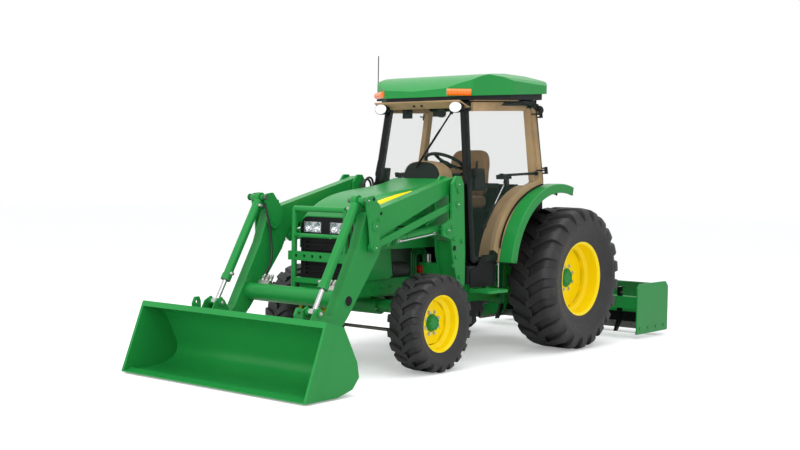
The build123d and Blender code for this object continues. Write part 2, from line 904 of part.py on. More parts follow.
roof_ends = (roof_front_x + 40, roof_rear_x - 40)
with BuildPart() as roof_band:
    add(roof_column(30, 40))
    with BuildSketch(side(roof_half)):
        with BuildLine():
            low_line = [(x, under_roof(x)) for x in roof_ends]
            high_line = [(x, roof_seam(x)) for x in reversed(roof_ends)]
            Polyline(*low_line, *high_line, close=True)
        make_face()
    extrude(amount=2 * roof_half, mode=Mode.INTERSECT)
roof_band = roof_band.part
write(roof_band, "roof_band")
crown_points = [
    (roof_ends[0], roof_seam(roof_ends[0]) + 12),
    *((1290, 2236), (1175, 2298), (760, 2368), (400, 2388)),
    (roof_ends[1], 2330),
]
shoulder = [(655, 2050), (655, 2262), (585, 2326), (420, 2380)]
with BuildPart() as roof:
    add(roof_column(0, 60))
    with BuildSketch(side(roof_half)):
        with BuildLine():
            Spline(*crown_points)
            Polyline(crown_points[-1], *[(x, roof_seam(x)) for x in reversed(roof_ends)], crown_points[0])
        make_face()
    extrude(amount=2 * roof_half, mode=Mode.INTERSECT)
    with BuildSketch(Plane.YZ.offset(roof_ends[1])):
        with BuildLine():
            Polyline(*shoulder, (0, 2400), *[(-y, z) for y, z in reversed(shoulder)], close=True)
        make_face()
    extrude(amount=roof_ends[0] - roof_ends[1], mode=Mode.INTERSECT)
roof = roof.part
write(roof, "roof")

# Lamps, wiper, mirror and aerial

amber = bar((1318, 334, 2180), (1212, 500, 2180), 28)
amber = cut(amber, roof_band, roof)
write(both_sides(amber), "amber_lamps")

work_lamps = []
stalk_radius = 9
for x, y, z, way in ((1225, 395, 2060, 1), (300, 530, 2086, -1)):
    head = bar((x, y, z), (x + way * 55, y, z), 42)
    stalk = bar((x, y, z), (x, y, under_roof(x + stalk_radius) - seat_gap), stalk_radius)
    work_lamps.append(joined(head, stalk))
write(both_sides(joined(*work_lamps)), "work_lamps")

aerial_x = 1130
aerial_z = under_roof(aerial_x) + 24
aerial = joined(
    bar((aerial_x, -440, aerial_z), (aerial_x, -566, aerial_z), 10),
    bar((aerial_x, -560, aerial_z), (aerial_x, -560, 2535), 4),
)
aerial = cut(aerial, roof_band, roof)
wiper_foot = Vector(screen_high[0], 285, screen_high[1]) - screen_run * 0.1 + screen_out * 8
wiper_end = Vector(screen_high[0], -26, screen_high[1]) - screen_run * 0.81 + screen_out * 12
wiper = joined(
    bar(tuple(wiper_foot - screen_out * (8 - seat_gap)), tuple(wiper_foot + screen_out * 6), 14),
    bar(tuple(wiper_foot), tuple(wiper_end), 5),
)
mirror_head = joined(
    block(1108, 1122, 40, 168, 1996, 2046, 5),
    bar((1115, 104, 2040), (1143, 104, 2095), 6),
    block(1108, 1122, -290, -186, 1985, 2078, 5),
    bar((1115, -238, 2060), (1143, -238, 2095), 6),
)
cab_fittings = cut(joined(aerial, wiper, mirror_head), cab_frame, cab_glass)
write(cab_fittings, "cab_fittings")

# Steps and the tanks under the doors

step_high = 590
step_outer = 800
tank = block(985, 1330, 330, 600, step_high + 40, floor_z - floor_thickness - seat_gap, 40)
tank = joined(tank, block(1000, 1300, case_half - 20, 332, 650, 700))
write(both_sides(tank), "side_tanks")
tread = joined(
    block(1050, 1320, 560, step_outer, step_high - 22, step_high, 30),
    block(1060, 1090, 560, 600, step_high - 22, step_high + 40),
    block(1280, 1310, 560, 600, step_high - 22, step_high + 40),
)
write(both_sides(tread), "steps")

# Loader masts and the guard ahead of the grille

boom_low_y = arm_y - boom_width / 2
boom_high_y = arm_y + boom_width / 2
link_low_y = boom_high_y + side_gap
link_high_y = link_low_y + link_thickness
outer_plate_y = link_high_y + side_gap
inner_plate_y = boom_low_y - side_gap
link_rear = shifted(boom_pivot, (0, -link_drop))
link_front = shifted(knee_pivot, (0, -link_drop))

mast_outline = from_x(
    boom_pivot[0],
    (-110, 640),
    (-65, 595),
    (-15, 640),
    (55, 860),
    (75, 1000),
    (185, 1030),
    (185, 1115),
    (75, 1160),
    (75, 1440),
    (25, 1500),
    (-35, 1500),
    (-75, 1440),
    (-110, 900),
)
mast_inner = plate(mast_outline, inner_plate_y - mast_plate, inner_plate_y, 18)
mast_outer = plate(mast_outline, outer_plate_y, outer_plate_y + mast_plate, 18)
box_outline = from_x(boom_pivot[0], (-85, 660), (-15, 680), (35, 860), (40, 980), (-85, 980))
mast_box = plate(box_outline, inner_plate_y - 1, outer_plate_y + 1)
mast_foot_low = rail_high + seat_gap
mast = joined(
    mast_inner,
    mast_outer,
    mast_box,
    cross_pin(boom_pivot, boom_pin_radius, inner_plate_y - 5, outer_plate_y + 5),
    cross_pin(link_rear, link_pin_radius, link_low_y + 1, outer_plate_y + 5),
    cross_pin(lift_base, lift_pin_radius, inner_plate_y - 5, outer_plate_y + 5),
    block(boom_pivot[0] - 80, boom_pivot[0] + 35, rail_y + rail_width, inner_plate_y, mast_foot_low, 800),
    block(boom_pivot[0] - 105, boom_pivot[0] + 55, rail_y, rail_y + rail_width + 20, mast_foot_low, 720),
)
mast = cut(mast, engine)
write(both_sides(mast), "loader_masts")

guard_x = frame_front + 42
guard_y = 264
guard_top = 1228
guard_radius = 22
bow = 34
guard = joined(
    both_sides(bar((guard_x, guard_y, 560), (guard_x, guard_y, guard_top), guard_radius)),
    bar((guard_x, -guard_y, guard_top), (guard_x, guard_y, guard_top), guard_radius),
    both_sides(bar((guard_x, guard_y, 1026), (guard_x + bow, 150, 1026), guard_radius - 6)),
    bar((guard_x + bow, -150, 1026), (guard_x + bow, 150, 1026), guard_radius - 6),
    both_sides(post(guard_x + bow, 150, guard_radius - 6, 1026 - guard_radius + 6, 1026 + guard_radius - 6)),
    block(guard_x - 20, guard_x + 20, -312, 312, 830, 900),
    block(guard_x - 20, guard_x + 20, -guard_y, guard_y, 660, 700),
    block(frame_front + seat_gap, guard_x + 20, -guard_y, guard_y, 545, 600),
)
guard_hole_pitch = 85
guard_hole_radius = 13
guard_holes = []
for place in range(4):
    y = -225 + guard_hole_pitch * place
    guard_holes.append(bar((guard_x - 60, y, 866), (guard_x + 60, y, 866), guard_hole_radius))
write(cut(guard, *guard_holes), "front_guard")

# Boom: two box arms with a cross tube, the knee pins and the lift cylinders' ears

boom_outline = from_x(
    boom_pivot[0],
    (-60, 1372),
    (-60, 1497),
    (1035, 1208),
    (1123, 960),
    (1380, 492),
    (1485, 392),
    (1495, 296),
    (1408, 280),
    (1220, 476),
    (890, 905),
    (815, 1062),
    (95, 1340),
)
boom_arm = joined(
    plate(boom_outline, boom_low_y, boom_high_y, 28),
    cross_pin(knee_pivot, 52, boom_low_y, boom_high_y),
    cross_pin(knee_pivot, knee_pin_radius, inner_plate_y - mast_plate, outer_plate_y + mast_plate),
)
eye_half = cylinder_eye_width / 2
eye_side = 3
lift_ear = [shifted(lift_eye, step) for step in ((-95, 110), (60, 95), (38, -15), (0, -42), (-38, -15))]
lift_ear_y = arm_y - eye_half - eye_side, arm_y + eye_half + eye_side
lift_boss_radius = lift_pin_radius + 8
lift_ears = joined(
    plate(lift_ear, lift_ear_y[0] - ear_plate, lift_ear_y[0], 12),
    plate(lift_ear, lift_ear_y[1], lift_ear_y[1] + ear_plate, 12),
    cross_pin(lift_eye, lift_boss_radius, lift_ear_y[0] - ear_plate - 8, lift_ear_y[0] - 6),
    cross_pin(lift_eye, lift_boss_radius, lift_ear_y[1] + 6, lift_ear_y[1] + ear_plate + 8),
)
boom_left = cut(
    joined(boom_arm, lift_ears),
    cross_pin(boom_pivot, boom_pin_radius + pin_gap, boom_low_y - 1, boom_high_y + 1),
    cross_pin(bucket_pivot, bucket_pin_radius + pin_gap, boom_low_y - 1, boom_high_y + 1),
)
torque_bar = cross_pin(torque_tube, torque_tube_radius, -boom_low_y - 2, boom_low_y + 2)
write(joined(boom_left, other_side(boom_left), torque_bar), "loader_boom")

# Levelling links and bellcranks

link_run = Vector(link_front[0] - link_rear[0], 0, link_front[1] - link_rear[1])
link_up = Vector(-link_run.Z, 0, link_run.X).normalized() * 24
link_outline = [
    (link_rear[0] + link_up.X, link_rear[1] + link_up.Z),
    (link_front[0] + link_up.X, link_front[1] + link_up.Z),
    (link_front[0] - link_up.X, link_front[1] - link_up.Z),
    (link_rear[0] - link_up.X, link_rear[1] - link_up.Z),
]
level_link = cut(
    joined(
        plate(link_outline, link_low_y, link_high_y),
        cross_pin(link_rear, 34, link_low_y, link_high_y),
        cross_pin(link_front, 34, link_low_y, link_high_y),
    ),
    cross_pin(link_rear, link_pin_radius + pin_gap, link_low_y - 1, link_high_y + 1),
    cross_pin(link_front, link_pin_radius + pin_gap, link_low_y - 1, link_high_y + 1),
)
write(both_sides(level_link), "level_links")

tilt_top = shifted(knee_pivot, tilt_crank)
crank_steps = ((20, 225), (92, 215), (98, 160), (60, 0), (-64, 0), (-96, 90))
crank_outline = [shifted(knee_pivot, step) for step in crank_steps]
crank_low = [shifted(link_front, step) for step in ((44, -4), (0, -46), (-44, -4))]
crank_plate = 16
crank_long = crank_outline[:4] + crank_low + crank_outline[4:]
crank_outer = plate(crank_long, outer_plate_y, outer_plate_y + crank_plate, 16)
crank_foot = [shifted(knee_pivot, step) for step in ((62, -20), (0, -60), (-62, -20))]
crank_short = crank_outline[:3] + crank_foot + crank_outline[5:]
crank_inner = plate(crank_short, inner_plate_y - crank_plate, inner_plate_y, 16)
crank_spacer = cross_pin(shifted(knee_pivot, (-42, 150)), 20, inner_plate_y - 1, outer_plate_y + 1)
crank_boss_radius = tilt_pin_radius + 5
crank_bosses = joined(
    cross_pin(tilt_top, crank_boss_radius, inner_plate_y - 1, arm_y - eye_half - eye_side),
    cross_pin(tilt_top, crank_boss_radius, arm_y + eye_half + eye_side, outer_plate_y + 1),
)
crank = cut(
    joined(
        crank_outer,
        crank_inner,
        crank_spacer,
        crank_bosses,
        cross_pin(link_front, link_pin_radius, link_low_y + 1, outer_plate_y + 5),
    ),
    cross_pin(knee_pivot, knee_pin_radius + pin_gap, inner_plate_y - 60, outer_plate_y + 60),
    cross_pin(tilt_top, tilt_pin_radius + pin_gap, inner_plate_y - 60, outer_plate_y + 60),
)
write(both_sides(crank), "bellcranks")
pin_reach = crank_plate + 8
tilt_pin = cross_pin(tilt_top, tilt_pin_radius, inner_plate_y - pin_reach, outer_plate_y + pin_reach)
write(both_sides(tilt_pin), "tilt_pins")

# Hydraulic cylinders: each barrel turns on its base pin and its rod slides in it


def cylinder(base, eye, radius, rod_radius, barrel, rod, base_pin, eye_bore):
    """A barrel with its base eye and a rod with its end eye, on the line between two pivots."""
    run = Vector(eye[0] - base[0], 0, eye[1] - base[1])
    length = run.length
    along = run.normalized()
    start = Vector(base[0], arm_y, base[1])
    bottom = cylinder_eye_radius + 6

    def at(distance):
        return tuple(start + along * distance)

    barrel_part = joined(
        cross_pin(base, cylinder_eye_radius + 6, arm_y - eye_half, arm_y + eye_half),
        bar(at(bottom - 10), at(barrel), radius),
        bar(at(barrel - 45), at(barrel), radius + 5),
    )
    barrel_part = cut(
        barrel_part,
        cross_pin(base, base_pin + pin_gap, arm_y - 80, arm_y + 80),
        bar(at(bottom + 4), at(barrel + 1), rod_radius + seat_gap),
    )
    rod_part = joined(
        bar(at(length - rod), at(length - 10), rod_radius),
        cross_pin(eye, cylinder_eye_radius, arm_y - eye_half, arm_y + eye_half),
    )
    rod_part = cut(rod_part, cross_pin(eye, eye_bore, arm_y - 80, arm_y + 80))
    return barrel_part, rod_part


bucket_rod_pin = shifted(bucket_pivot, tilt_crank)
lift_barrel, lift_rod = cylinder(
    lift_base,
    lift_eye,
    lift_barrel_radius,
    lift_rod_radius,
    lift_barrel_length,
    lift_rod_length,
    lift_pin_radius,
    lift_pin_radius,
)
tilt_barrel, tilt_rod = cylinder(
    tilt_top,
    bucket_rod_pin,
    tilt_barrel_radius,
    tilt_rod_radius,
    tilt_barrel_length,
    tilt_rod_length,
    tilt_pin_radius,
    tilt_pin_radius,
)
write(both_sides(lift_barrel), "lift_barrels")
write(both_sides(lift_rod), "lift_rods")
write(both_sides(tilt_barrel), "tilt_barrels")
write(both_sides(tilt_rod), "tilt_rods")

# Bucket with its ears, and the pins it hangs on

bucket_outline = [
    (front_reach, bucket_clearance),
    *from_x(bucket_pivot[0], (317, bucket_clearance), (165, 50), (99, 125)),
    *from_x(bucket_pivot[0], (120, 230), (258, 478), (436, 521)),
]
with BuildPart() as bucket_shell:
    with BuildSketch(side(-bucket_half_width)):
        with BuildLine():
            Polyline(*bucket_outline)
            offset(amount=bucket_plate, side=Side.RIGHT)
        make_face()
    extrude(amount=-2 * bucket_half_width)
bucket_cheek = plate(bucket_outline, bucket_half_width - bucket_side_plate, bucket_half_width)
ear_gap = boom_width / 2 + side_gap
ear_outline = [
    *from_x(bucket_pivot[0], (180, 330), (225, 420)),
    *[shifted(bucket_rod_pin, step) for step in ((60, 15), (0, 45), (-42, 0))],
    *[shifted(bucket_pivot, step) for step in ((-48, 10), (-20, -48), (40, -45))],
    *from_x(bucket_pivot[0], (108, 200)),
]
ears = []
for near in (arm_y - ear_gap - ear_plate, arm_y + ear_gap):
    ears.append(plate(ear_outline, near, near + ear_plate, 8))
inner_boss = cross_pin(bucket_rod_pin, 30, arm_y - ear_gap - 1, arm_y - eye_half - eye_side)
outer_boss = cross_pin(bucket_rod_pin, 30, arm_y + eye_half + eye_side, arm_y + ear_gap + 1)
ear_bore = cross_pin(bucket_pivot, bucket_pin_radius + pin_gap, arm_y - 200, arm_y + 200)
ears = cut(joined(*ears, inner_boss, outer_boss), ear_bore)
hook_outline = from_x(bucket_pivot[0], (236, 462), (308, 480), (312, 530), (290, 574), (252, 576), (238, 540))
hook_eye = (bucket_pivot[0] + 274, 538)
hook = cut(plate(hook_outline, arm_y + 12, arm_y + 32, 8), cross_pin(hook_eye, 14, arm_y, arm_y + 50))
bucket = joined(bucket_shell.part, both_sides(bucket_cheek), both_sides(ears), both_sides(hook))
write(bucket, "bucket")
pin_half = ear_gap + ear_plate + 1
bucket_pin = joined(
    cross_pin(bucket_pivot, bucket_pin_radius, arm_y - pin_half - 22, arm_y + pin_half + 22),
    cross_pin(bucket_pivot, pin_flange_radius, arm_y - pin_half - 16, arm_y - pin_half),
    cross_pin(bucket_pivot, pin_flange_radius, arm_y + pin_half, arm_y + pin_half + 16),
)
write(both_sides(bucket_pin), "bucket_pins")

# Three-point hitch

lower_end = shifted(lower_pivot, link_reach)
lift_point = shifted(lower_pivot, link_reach, lift_share)
top_pivot = shifted(lower_pivot, top_offset)
top_end = shifted(top_pivot, link_reach)
rock_pivot = shifted(lower_pivot, (0, rock_rise))
rock_end = shifted(lift_point, (0, rock_rise))


def link_bar(start, end, y_low, y_high, half_height):
    """A flat bar with round ends between two (X, Z) pivots."""
    run = Vector(end[0] - start[0], 0, end[1] - start[1])
    up = Vector(-run.Z, 0, run.X).normalized() * half_height
    corners = [
        (start[0] + up.X, start[1] + up.Z),
        (end[0] + up.X, end[1] + up.Z),
        (end[0] - up.X, end[1] - up.Z),
        (start[0] - up.X, start[1] - up.Z),
    ]
    return joined(
        plate(corners, y_low, y_high),
        cross_pin(start, half_height, y_low, y_high),
        cross_pin(end, half_height, y_low, y_high),
    )


link_half = 10
lower_link = cut(
    joined(
        link_bar(lower_pivot, lower_end, lower_link_y - link_half, lower_link_y + link_half, 30),
        cross_pin(lower_end, 30, lower_link_y, hitch_ball_y - 12),
        cross_pin(lift_point, hitch_pin_radius, lower_link_y, lower_link_y + 44),
    ),
    cross_pin(lower_pivot, hitch_pin_radius + pin_gap, 200, 400),
    cross_pin(lower_end, hitch_pin_radius + pin_gap, 200, 400),
)
write(both_sides(lower_link), "lower_links")

lift_y = lower_link_y + link_half + 4
lift_link = cut(
    link_bar(lift_point, rock_end, lift_y, lift_y + 24, 20),
    cross_pin(lift_point, hitch_pin_radius + pin_gap, 200, 400),
    cross_pin(rock_end, hitch_pin_radius + pin_gap, 200, 400),
)
write(both_sides(lift_link), "hitch_rods")
rock_radius = 30
lift_arm = joined(
    link_bar(rock_pivot, rock_end, lift_y - 34, lift_y - 10, 34),
    cross_pin(rock_end, hitch_pin_radius, lift_y - 20, lift_y + 30),
    cross_pin(rock_pivot, rock_radius, 0, lift_y - 10),
)
write(both_sides(lift_arm), "lift_arms")

top_link = cut(
    joined(
        link_bar(top_pivot, top_end, -12, 12, 16),
        bar((top_pivot[0] - 160, 0, top_pivot[1] + 9), (top_end[0] + 160, 0, top_end[1] - 9), 22),
        cross_pin(top_pivot, 28, -20, 20),
        cross_pin(top_end, 28, -20, 20),
    ),
    cross_pin(top_pivot, hitch_pin_radius + pin_gap, -50, 50),
    cross_pin(top_end, hitch_pin_radius + pin_gap, -50, 50),
)
write(top_link, "top_link")

# Drawbar and the brackets that carry the hitch on the rear of the transmission
rock_boss = cut(
    block(rock_pivot[0] - 60, rock_pivot[0] + 60, 175, 215, 790.3, rock_pivot[1] + 60),
    cross_pin(rock_pivot, rock_radius + seat_gap, 100, 300),
)
top_bracket = joined(
    block(top_pivot[0] - 35, top_pivot[0] + 70, 24, 40, 790.3, top_pivot[1] + 35),
)
lower_bracket = joined(
    block(lower_pivot[0] - 40, lower_pivot[0] + 60, case_half + 30.3, lower_link_y - link_half - 6, 395, 470),
    cross_pin(lower_pivot, hitch_pin_radius, case_half + 31, lower_link_y + link_half + 8),
)
drawbar_plate = block(pto_x - 150, 60, -45, 45, 340, 379.7)
drawbar_hole_radius = 13
drawbar_hole_x = pto_x - 110
drawbar_plate = cut(drawbar_plate, post(drawbar_hole_x, 0, drawbar_hole_radius, 300, 400))
top_pin = cross_pin(top_pivot, hitch_pin_radius, -26, 26)
hitch_pairs = [both_sides(half) for half in (rock_boss, top_bracket, lower_bracket)]
hitch_frame = joined(*hitch_pairs, drawbar_plate, top_pin)
write(hitch_frame, "hitch_frame")

# Box blade: end plates, beam with scarifier shanks, two mouldboards and the headstock

blade_front = -941
blade_top = 521
end_outline = [
    (blade_front, blade_top - 40),
    (blade_front - 40, blade_top),
    (-rear_reach + 50, blade_top),
    (-rear_reach, blade_top - 50),
    (-rear_reach, blade_clearance),
    (blade_front, blade_clearance),
]
end_plate = plate(end_outline, blade_half_width - blade_plate, blade_half_width, 15)
beam_x = blade_front - 80
beam_z = 340
beam = block(beam_x - 55, beam_x + 55, -blade_half_width + 1, blade_half_width - 1, beam_z - 55, beam_z + 55)
shanks = []
for place in range(-2, 3):
    y = place * 340
    shank = plate(
        [
            (beam_x - 20, 480),
            (beam_x + 35, 480),
            (beam_x + 35, 180),
            (beam_x + 95, blade_clearance + 20),
            (beam_x + 60, blade_clearance + 20),
            (beam_x - 20, 160),
        ],
        y - 12,
        y + 12,
    )
    shanks.append(shank)


def mouldboard(x, bulge):
    """A curved blade from its cutting edge up to its top."""
    low = (x, blade_clearance)
    middle = (x + bulge, 250)
    high = (x - bulge * 0.2, 500)
    with BuildPart() as made:
        with BuildSketch(side(-blade_half_width + 1)):
            with BuildLine():
                ThreePointArc(low, middle, high)
                Line(high, (high[0] - 14, high[1]))
                ThreePointArc((high[0] - 14, high[1]), (middle[0] - 14, middle[1]), (low[0] - 14, low[1]))
                Line((low[0] - 14, low[1]), low)
            make_face()
        extrude(amount=-2 * (blade_half_width - 1))
    return made.part


headstock = joined(
    plate(
        [shifted(lower_end, step) for step in ((-45, -60), (-45, 60), (40, 40), (40, -40))],
        hitch_ball_y,
        hitch_ball_y + 16,
    ),
    block(beam_x, lower_end[0] - 30, hitch_ball_y - 8, hitch_ball_y + 16, beam_z - 40, lower_end[1] + 50),
    cross_pin(lower_end, hitch_pin_radius, lower_link_y - link_half - 6, hitch_ball_y + 20),
    plate(
        [
            (beam_x - 20, beam_z + 45),
            (beam_x + 30, beam_z + 45),
            (top_end[0] + 34, top_end[1] + 36),
            (top_end[0] - 34, top_end[1] + 36),
        ],
        26,
        40,
    ),
    bar((beam_x, 33, top_end[1] - 40), (-rear_reach + 160, 200, 480), 16),
)
top_pin = cross_pin(top_end, hitch_pin_radius, -40, 40)
blade = joined(
    both_sides(end_plate),
    beam,
    *shanks,
    mouldboard(-rear_reach + 170, -60),
    mouldboard(-rear_reach + 110, -40),
    both_sides(headstock),
    top_pin,
)
write(blade, "box_blade")
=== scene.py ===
import json
import math

import bmesh
import bpy
from mathutils import Matrix, Vector
from mathutils.bvhtree import BVHTree


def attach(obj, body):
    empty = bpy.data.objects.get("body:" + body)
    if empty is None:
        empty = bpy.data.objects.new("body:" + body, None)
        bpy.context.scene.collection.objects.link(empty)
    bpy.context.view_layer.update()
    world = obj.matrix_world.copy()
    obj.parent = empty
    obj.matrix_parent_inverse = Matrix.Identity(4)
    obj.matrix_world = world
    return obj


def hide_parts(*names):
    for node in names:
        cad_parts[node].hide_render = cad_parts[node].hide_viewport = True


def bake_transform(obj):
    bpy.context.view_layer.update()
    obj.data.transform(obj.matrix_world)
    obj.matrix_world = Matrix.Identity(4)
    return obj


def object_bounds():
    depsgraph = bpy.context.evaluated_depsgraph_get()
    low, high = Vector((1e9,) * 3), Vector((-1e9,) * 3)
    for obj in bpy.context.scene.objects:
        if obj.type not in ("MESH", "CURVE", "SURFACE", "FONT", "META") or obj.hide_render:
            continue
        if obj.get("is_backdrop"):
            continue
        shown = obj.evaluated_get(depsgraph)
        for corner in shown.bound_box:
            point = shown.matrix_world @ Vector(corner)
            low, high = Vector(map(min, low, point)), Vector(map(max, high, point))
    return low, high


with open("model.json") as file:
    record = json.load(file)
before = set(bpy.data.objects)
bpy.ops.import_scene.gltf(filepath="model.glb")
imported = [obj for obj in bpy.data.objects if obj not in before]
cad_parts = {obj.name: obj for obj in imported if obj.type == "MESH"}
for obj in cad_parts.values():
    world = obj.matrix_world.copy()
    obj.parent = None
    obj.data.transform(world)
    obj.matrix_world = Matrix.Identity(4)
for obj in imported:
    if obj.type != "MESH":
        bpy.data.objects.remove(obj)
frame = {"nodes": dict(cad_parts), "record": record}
cad_low, cad_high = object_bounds()
nodes = frame["nodes"]

# Points are given in millimetres from the rear axle, as in the part's source
AXLE_TO_MIDDLE = 1.004
# The middle of the arches over the rear wheels
ARCH_X, ARCH_Z = 230, 700


def at(x, y, z):
    return Vector((x / 1000 - AXLE_TO_MIDDLE, y / 1000, z / 1000))


# Materials


class Recipe:
    """One procedural material and its node tree."""

    def __init__(self, name):
        self.material = bpy.data.materials.new(name)
        self.material.use_nodes = True
        self.tree = self.material.node_tree
        self.shader = self.tree.nodes["Principled BSDF"]
        self.coords = self.tree.nodes.new("ShaderNodeTexCoord").outputs["Object"]

    def link(self, start, end):
        self.tree.links.new(start, end)

    def constant(self, **values):
        for key, value in values.items():
            self.shader.inputs[key.replace("_", " ")].default_value = value
        return self

    def noise(self, scale, detail=4.0, rough=0.55, stretch=(1, 1, 1)):
        mapping = self.tree.nodes.new("ShaderNodeMapping")
        mapping.inputs["Scale"].default_value = stretch
        self.link(self.coords, mapping.inputs["Vector"])
        node = self.tree.nodes.new("ShaderNodeTexNoise")
        node.inputs["Scale"].default_value = scale
        node.inputs["Detail"].default_value = detail
        node.inputs["Roughness"].default_value = rough
        self.link(mapping.outputs["Vector"], node.inputs["Vector"])
        return node.outputs["Fac"]

    def ramp(self, value, stops):
        node = self.tree.nodes.new("ShaderNodeValToRGB")
        ramp = node.color_ramp
        while len(ramp.elements) < len(stops):
            ramp.elements.new(0.5)
        for element, (place, colour) in zip(ramp.elements, stops):
            element.position = place
            element.color = (*colour, 1)
        self.link(value, node.inputs["Fac"])
        return node.outputs["Color"]

    def grey_ramp(self, value, stops):
        return self.ramp(value, [(place, (level,) * 3) for place, level in stops])

    def tones(self, value, colour, low, high):
        """A colour that goes from one (place, share) to another."""
        return self.ramp(value, [(place, shade(colour, share)) for place, share in (low, high)])

    def mixed(self, share, first, second, way="MIX"):
        node = self.tree.nodes.new("ShaderNodeMix")
        node.data_type = "RGBA"
        node.blend_type = way
        for socket, value in ((0, share), (6, first), (7, second)):
            if hasattr(value, "node"):
                self.link(value, node.inputs[socket])
            elif socket:
                node.inputs[socket].default_value = (*value, 1)
            else:
                node.inputs[socket].default_value = value
        return node.outputs[2]

    def colour(self, value):
        self.link(value, self.shader.inputs["Base Color"])
        return self

    def rough(self, value):
        self.link(value, self.shader.inputs["Roughness"])
        return self

    def bump(self, height, strength, distance=0.001):
        node = self.tree.nodes.new("ShaderNodeBump")
        node.inputs["Strength"].default_value = strength
        node.inputs["Distance"].default_value = distance
        self.link(height, node.inputs["Height"])
        if self.shader.inputs["Normal"].is_linked:
            self.link(self.shader.inputs["Normal"].links[0].from_socket, node.inputs["Normal"])
        self.link(node.outputs["Normal"], self.shader.inputs["Normal"])
        return self


def srgb(*levels):
    """A colour given as screen levels from 0 to 255."""
    made = []
    for level in levels:
        share = level / 255
        made.append(share / 12.92 if share <= 0.04045 else ((share + 0.055) / 1.055) ** 2.4)
    return tuple(made)


def shade(colour, share):
    return tuple(min(1.0, level * share) for level in colour)


def paint(name, colour, gloss=0.34, shine=0.2):
    """Sprayed machine paint: slight orange peel and a little uneven gloss."""
    recipe = Recipe(name)
    broad = recipe.noise(1.6, 3)
    fine = recipe.noise(40, 4)
    recipe.colour(recipe.tones(broad, colour, (0.25, 0.93), (0.75, 1.05)))
    recipe.rough(recipe.grey_ramp(fine, [(0.3, gloss - 0.04), (0.7, gloss + 0.06)]))
    recipe.bump(recipe.noise(240, 2), 0.03, 0.0005)
    recipe.constant(Coat_Weight=shine / 2, Coat_Roughness=0.15, Specular_IOR_Level=shine)
    return recipe.material


def moulded(name, colour, roughness=0.55, grain=900):
    """Moulded plastic with a fine leather-like grain."""
    recipe = Recipe(name)
    broad = recipe.noise(5, 3)
    recipe.colour(recipe.tones(broad, colour, (0.3, 0.86), (0.7, 1.12)))
    recipe.rough(recipe.grey_ramp(recipe.noise(30, 3), [(0.3, roughness - 0.07), (0.7, roughness + 0.08)]))
    recipe.bump(recipe.noise(grain, 3), 0.08, 0.0006)
    recipe.constant(Specular_IOR_Level=0.16)
    return recipe.material


def rubber(name, colour, roughness=0.58):
    recipe = Recipe(name)
    dusty = recipe.noise(7, 6)
    scuff = recipe.noise(70, 5)
    base = recipe.tones(dusty, colour, (0.3, 0.75), (0.75, 1.45))
    mottled = recipe.grey_ramp(scuff, [(0.35, 0.75), (0.7, 1.0)])
    recipe.colour(recipe.mixed(1.0, base, mottled, "MULTIPLY"))
    recipe.rough(recipe.grey_ramp(scuff, [(0.3, roughness - 0.12), (0.7, roughness + 0.1)]))
    recipe.bump(recipe.noise(420, 4), 0.25, 0.0008)
    recipe.constant(Specular_IOR_Level=0.5)
    return recipe.material


def metal(name, colour, roughness=0.3, brushed=(1, 1, 1)):
    recipe = Recipe(name)
    streak = recipe.noise(90, 5, 0.6, brushed)
    recipe.colour(recipe.tones(streak, colour, (0.3, 0.8), (0.7, 1.1)))
    recipe.rough(recipe.grey_ramp(streak, [(0.3, roughness - 0.08), (0.7, roughness + 0.12)]))
    recipe.bump(streak, 0.08, 0.0004)
    recipe.constant(Metallic=1.0)
    return recipe.material


def cast(name, colour):
    """Rough painted castings under the machine."""
    recipe = Recipe(name)
    broad = recipe.noise(6, 5)
    recipe.colour(recipe.tones(broad, colour, (0.3, 0.7), (0.7, 1.2)))
    recipe.rough(recipe.grey_ramp(broad, [(0.3, 0.45), (0.7, 0.7)]))
    recipe.bump(recipe.noise(160, 5), 0.35, 0.0012)
    return recipe.material


def glass(name, tint, cover):
    """Thin safety glass with faint smears in its gloss."""
    recipe = Recipe(name)
    smear = recipe.noise(6, 4)
    recipe.colour(recipe.tones(smear, tint, (0.2, 0.97), (0.8, 1.02)))
    recipe.rough(recipe.grey_ramp(smear, [(0.4, 0.02), (0.8, 0.07)]))
    recipe.constant(Alpha=cover, Specular_IOR_Level=0.6)
    return recipe.material


def lens(name, colour, painted_glow, ribs=150, shine=1.0):
    """A lamp's moulded lens, ribbed, with a painted glow in its emission for the brightness of its lit
    reflector.
    """
    recipe = Recipe(name)
    wave = recipe.tree.nodes.new("ShaderNodeTexWave")
    wave.inputs["Scale"].default_value = ribs / 10
    wave.inputs["Distortion"].default_value = 0.4
    wave.bands_direction = "Y"
    recipe.link(recipe.coords, wave.inputs["Vector"])
    recipe.colour(recipe.tones(wave.outputs["Fac"], colour, (0.2, 0.82), (0.8, 1.05)))
    recipe.rough(recipe.grey_ramp(recipe.noise(20, 3), [(0.3, 0.05), (0.7, 0.14)]))
    recipe.bump(wave.outputs["Fac"], 0.3, 0.0015)
    recipe.constant(Coat_Weight=shine, Coat_Roughness=0.03, Emission_Strength=painted_glow)
    recipe.shader.inputs["Emission Color"].default_value = (*colour, 1)
    return recipe.material


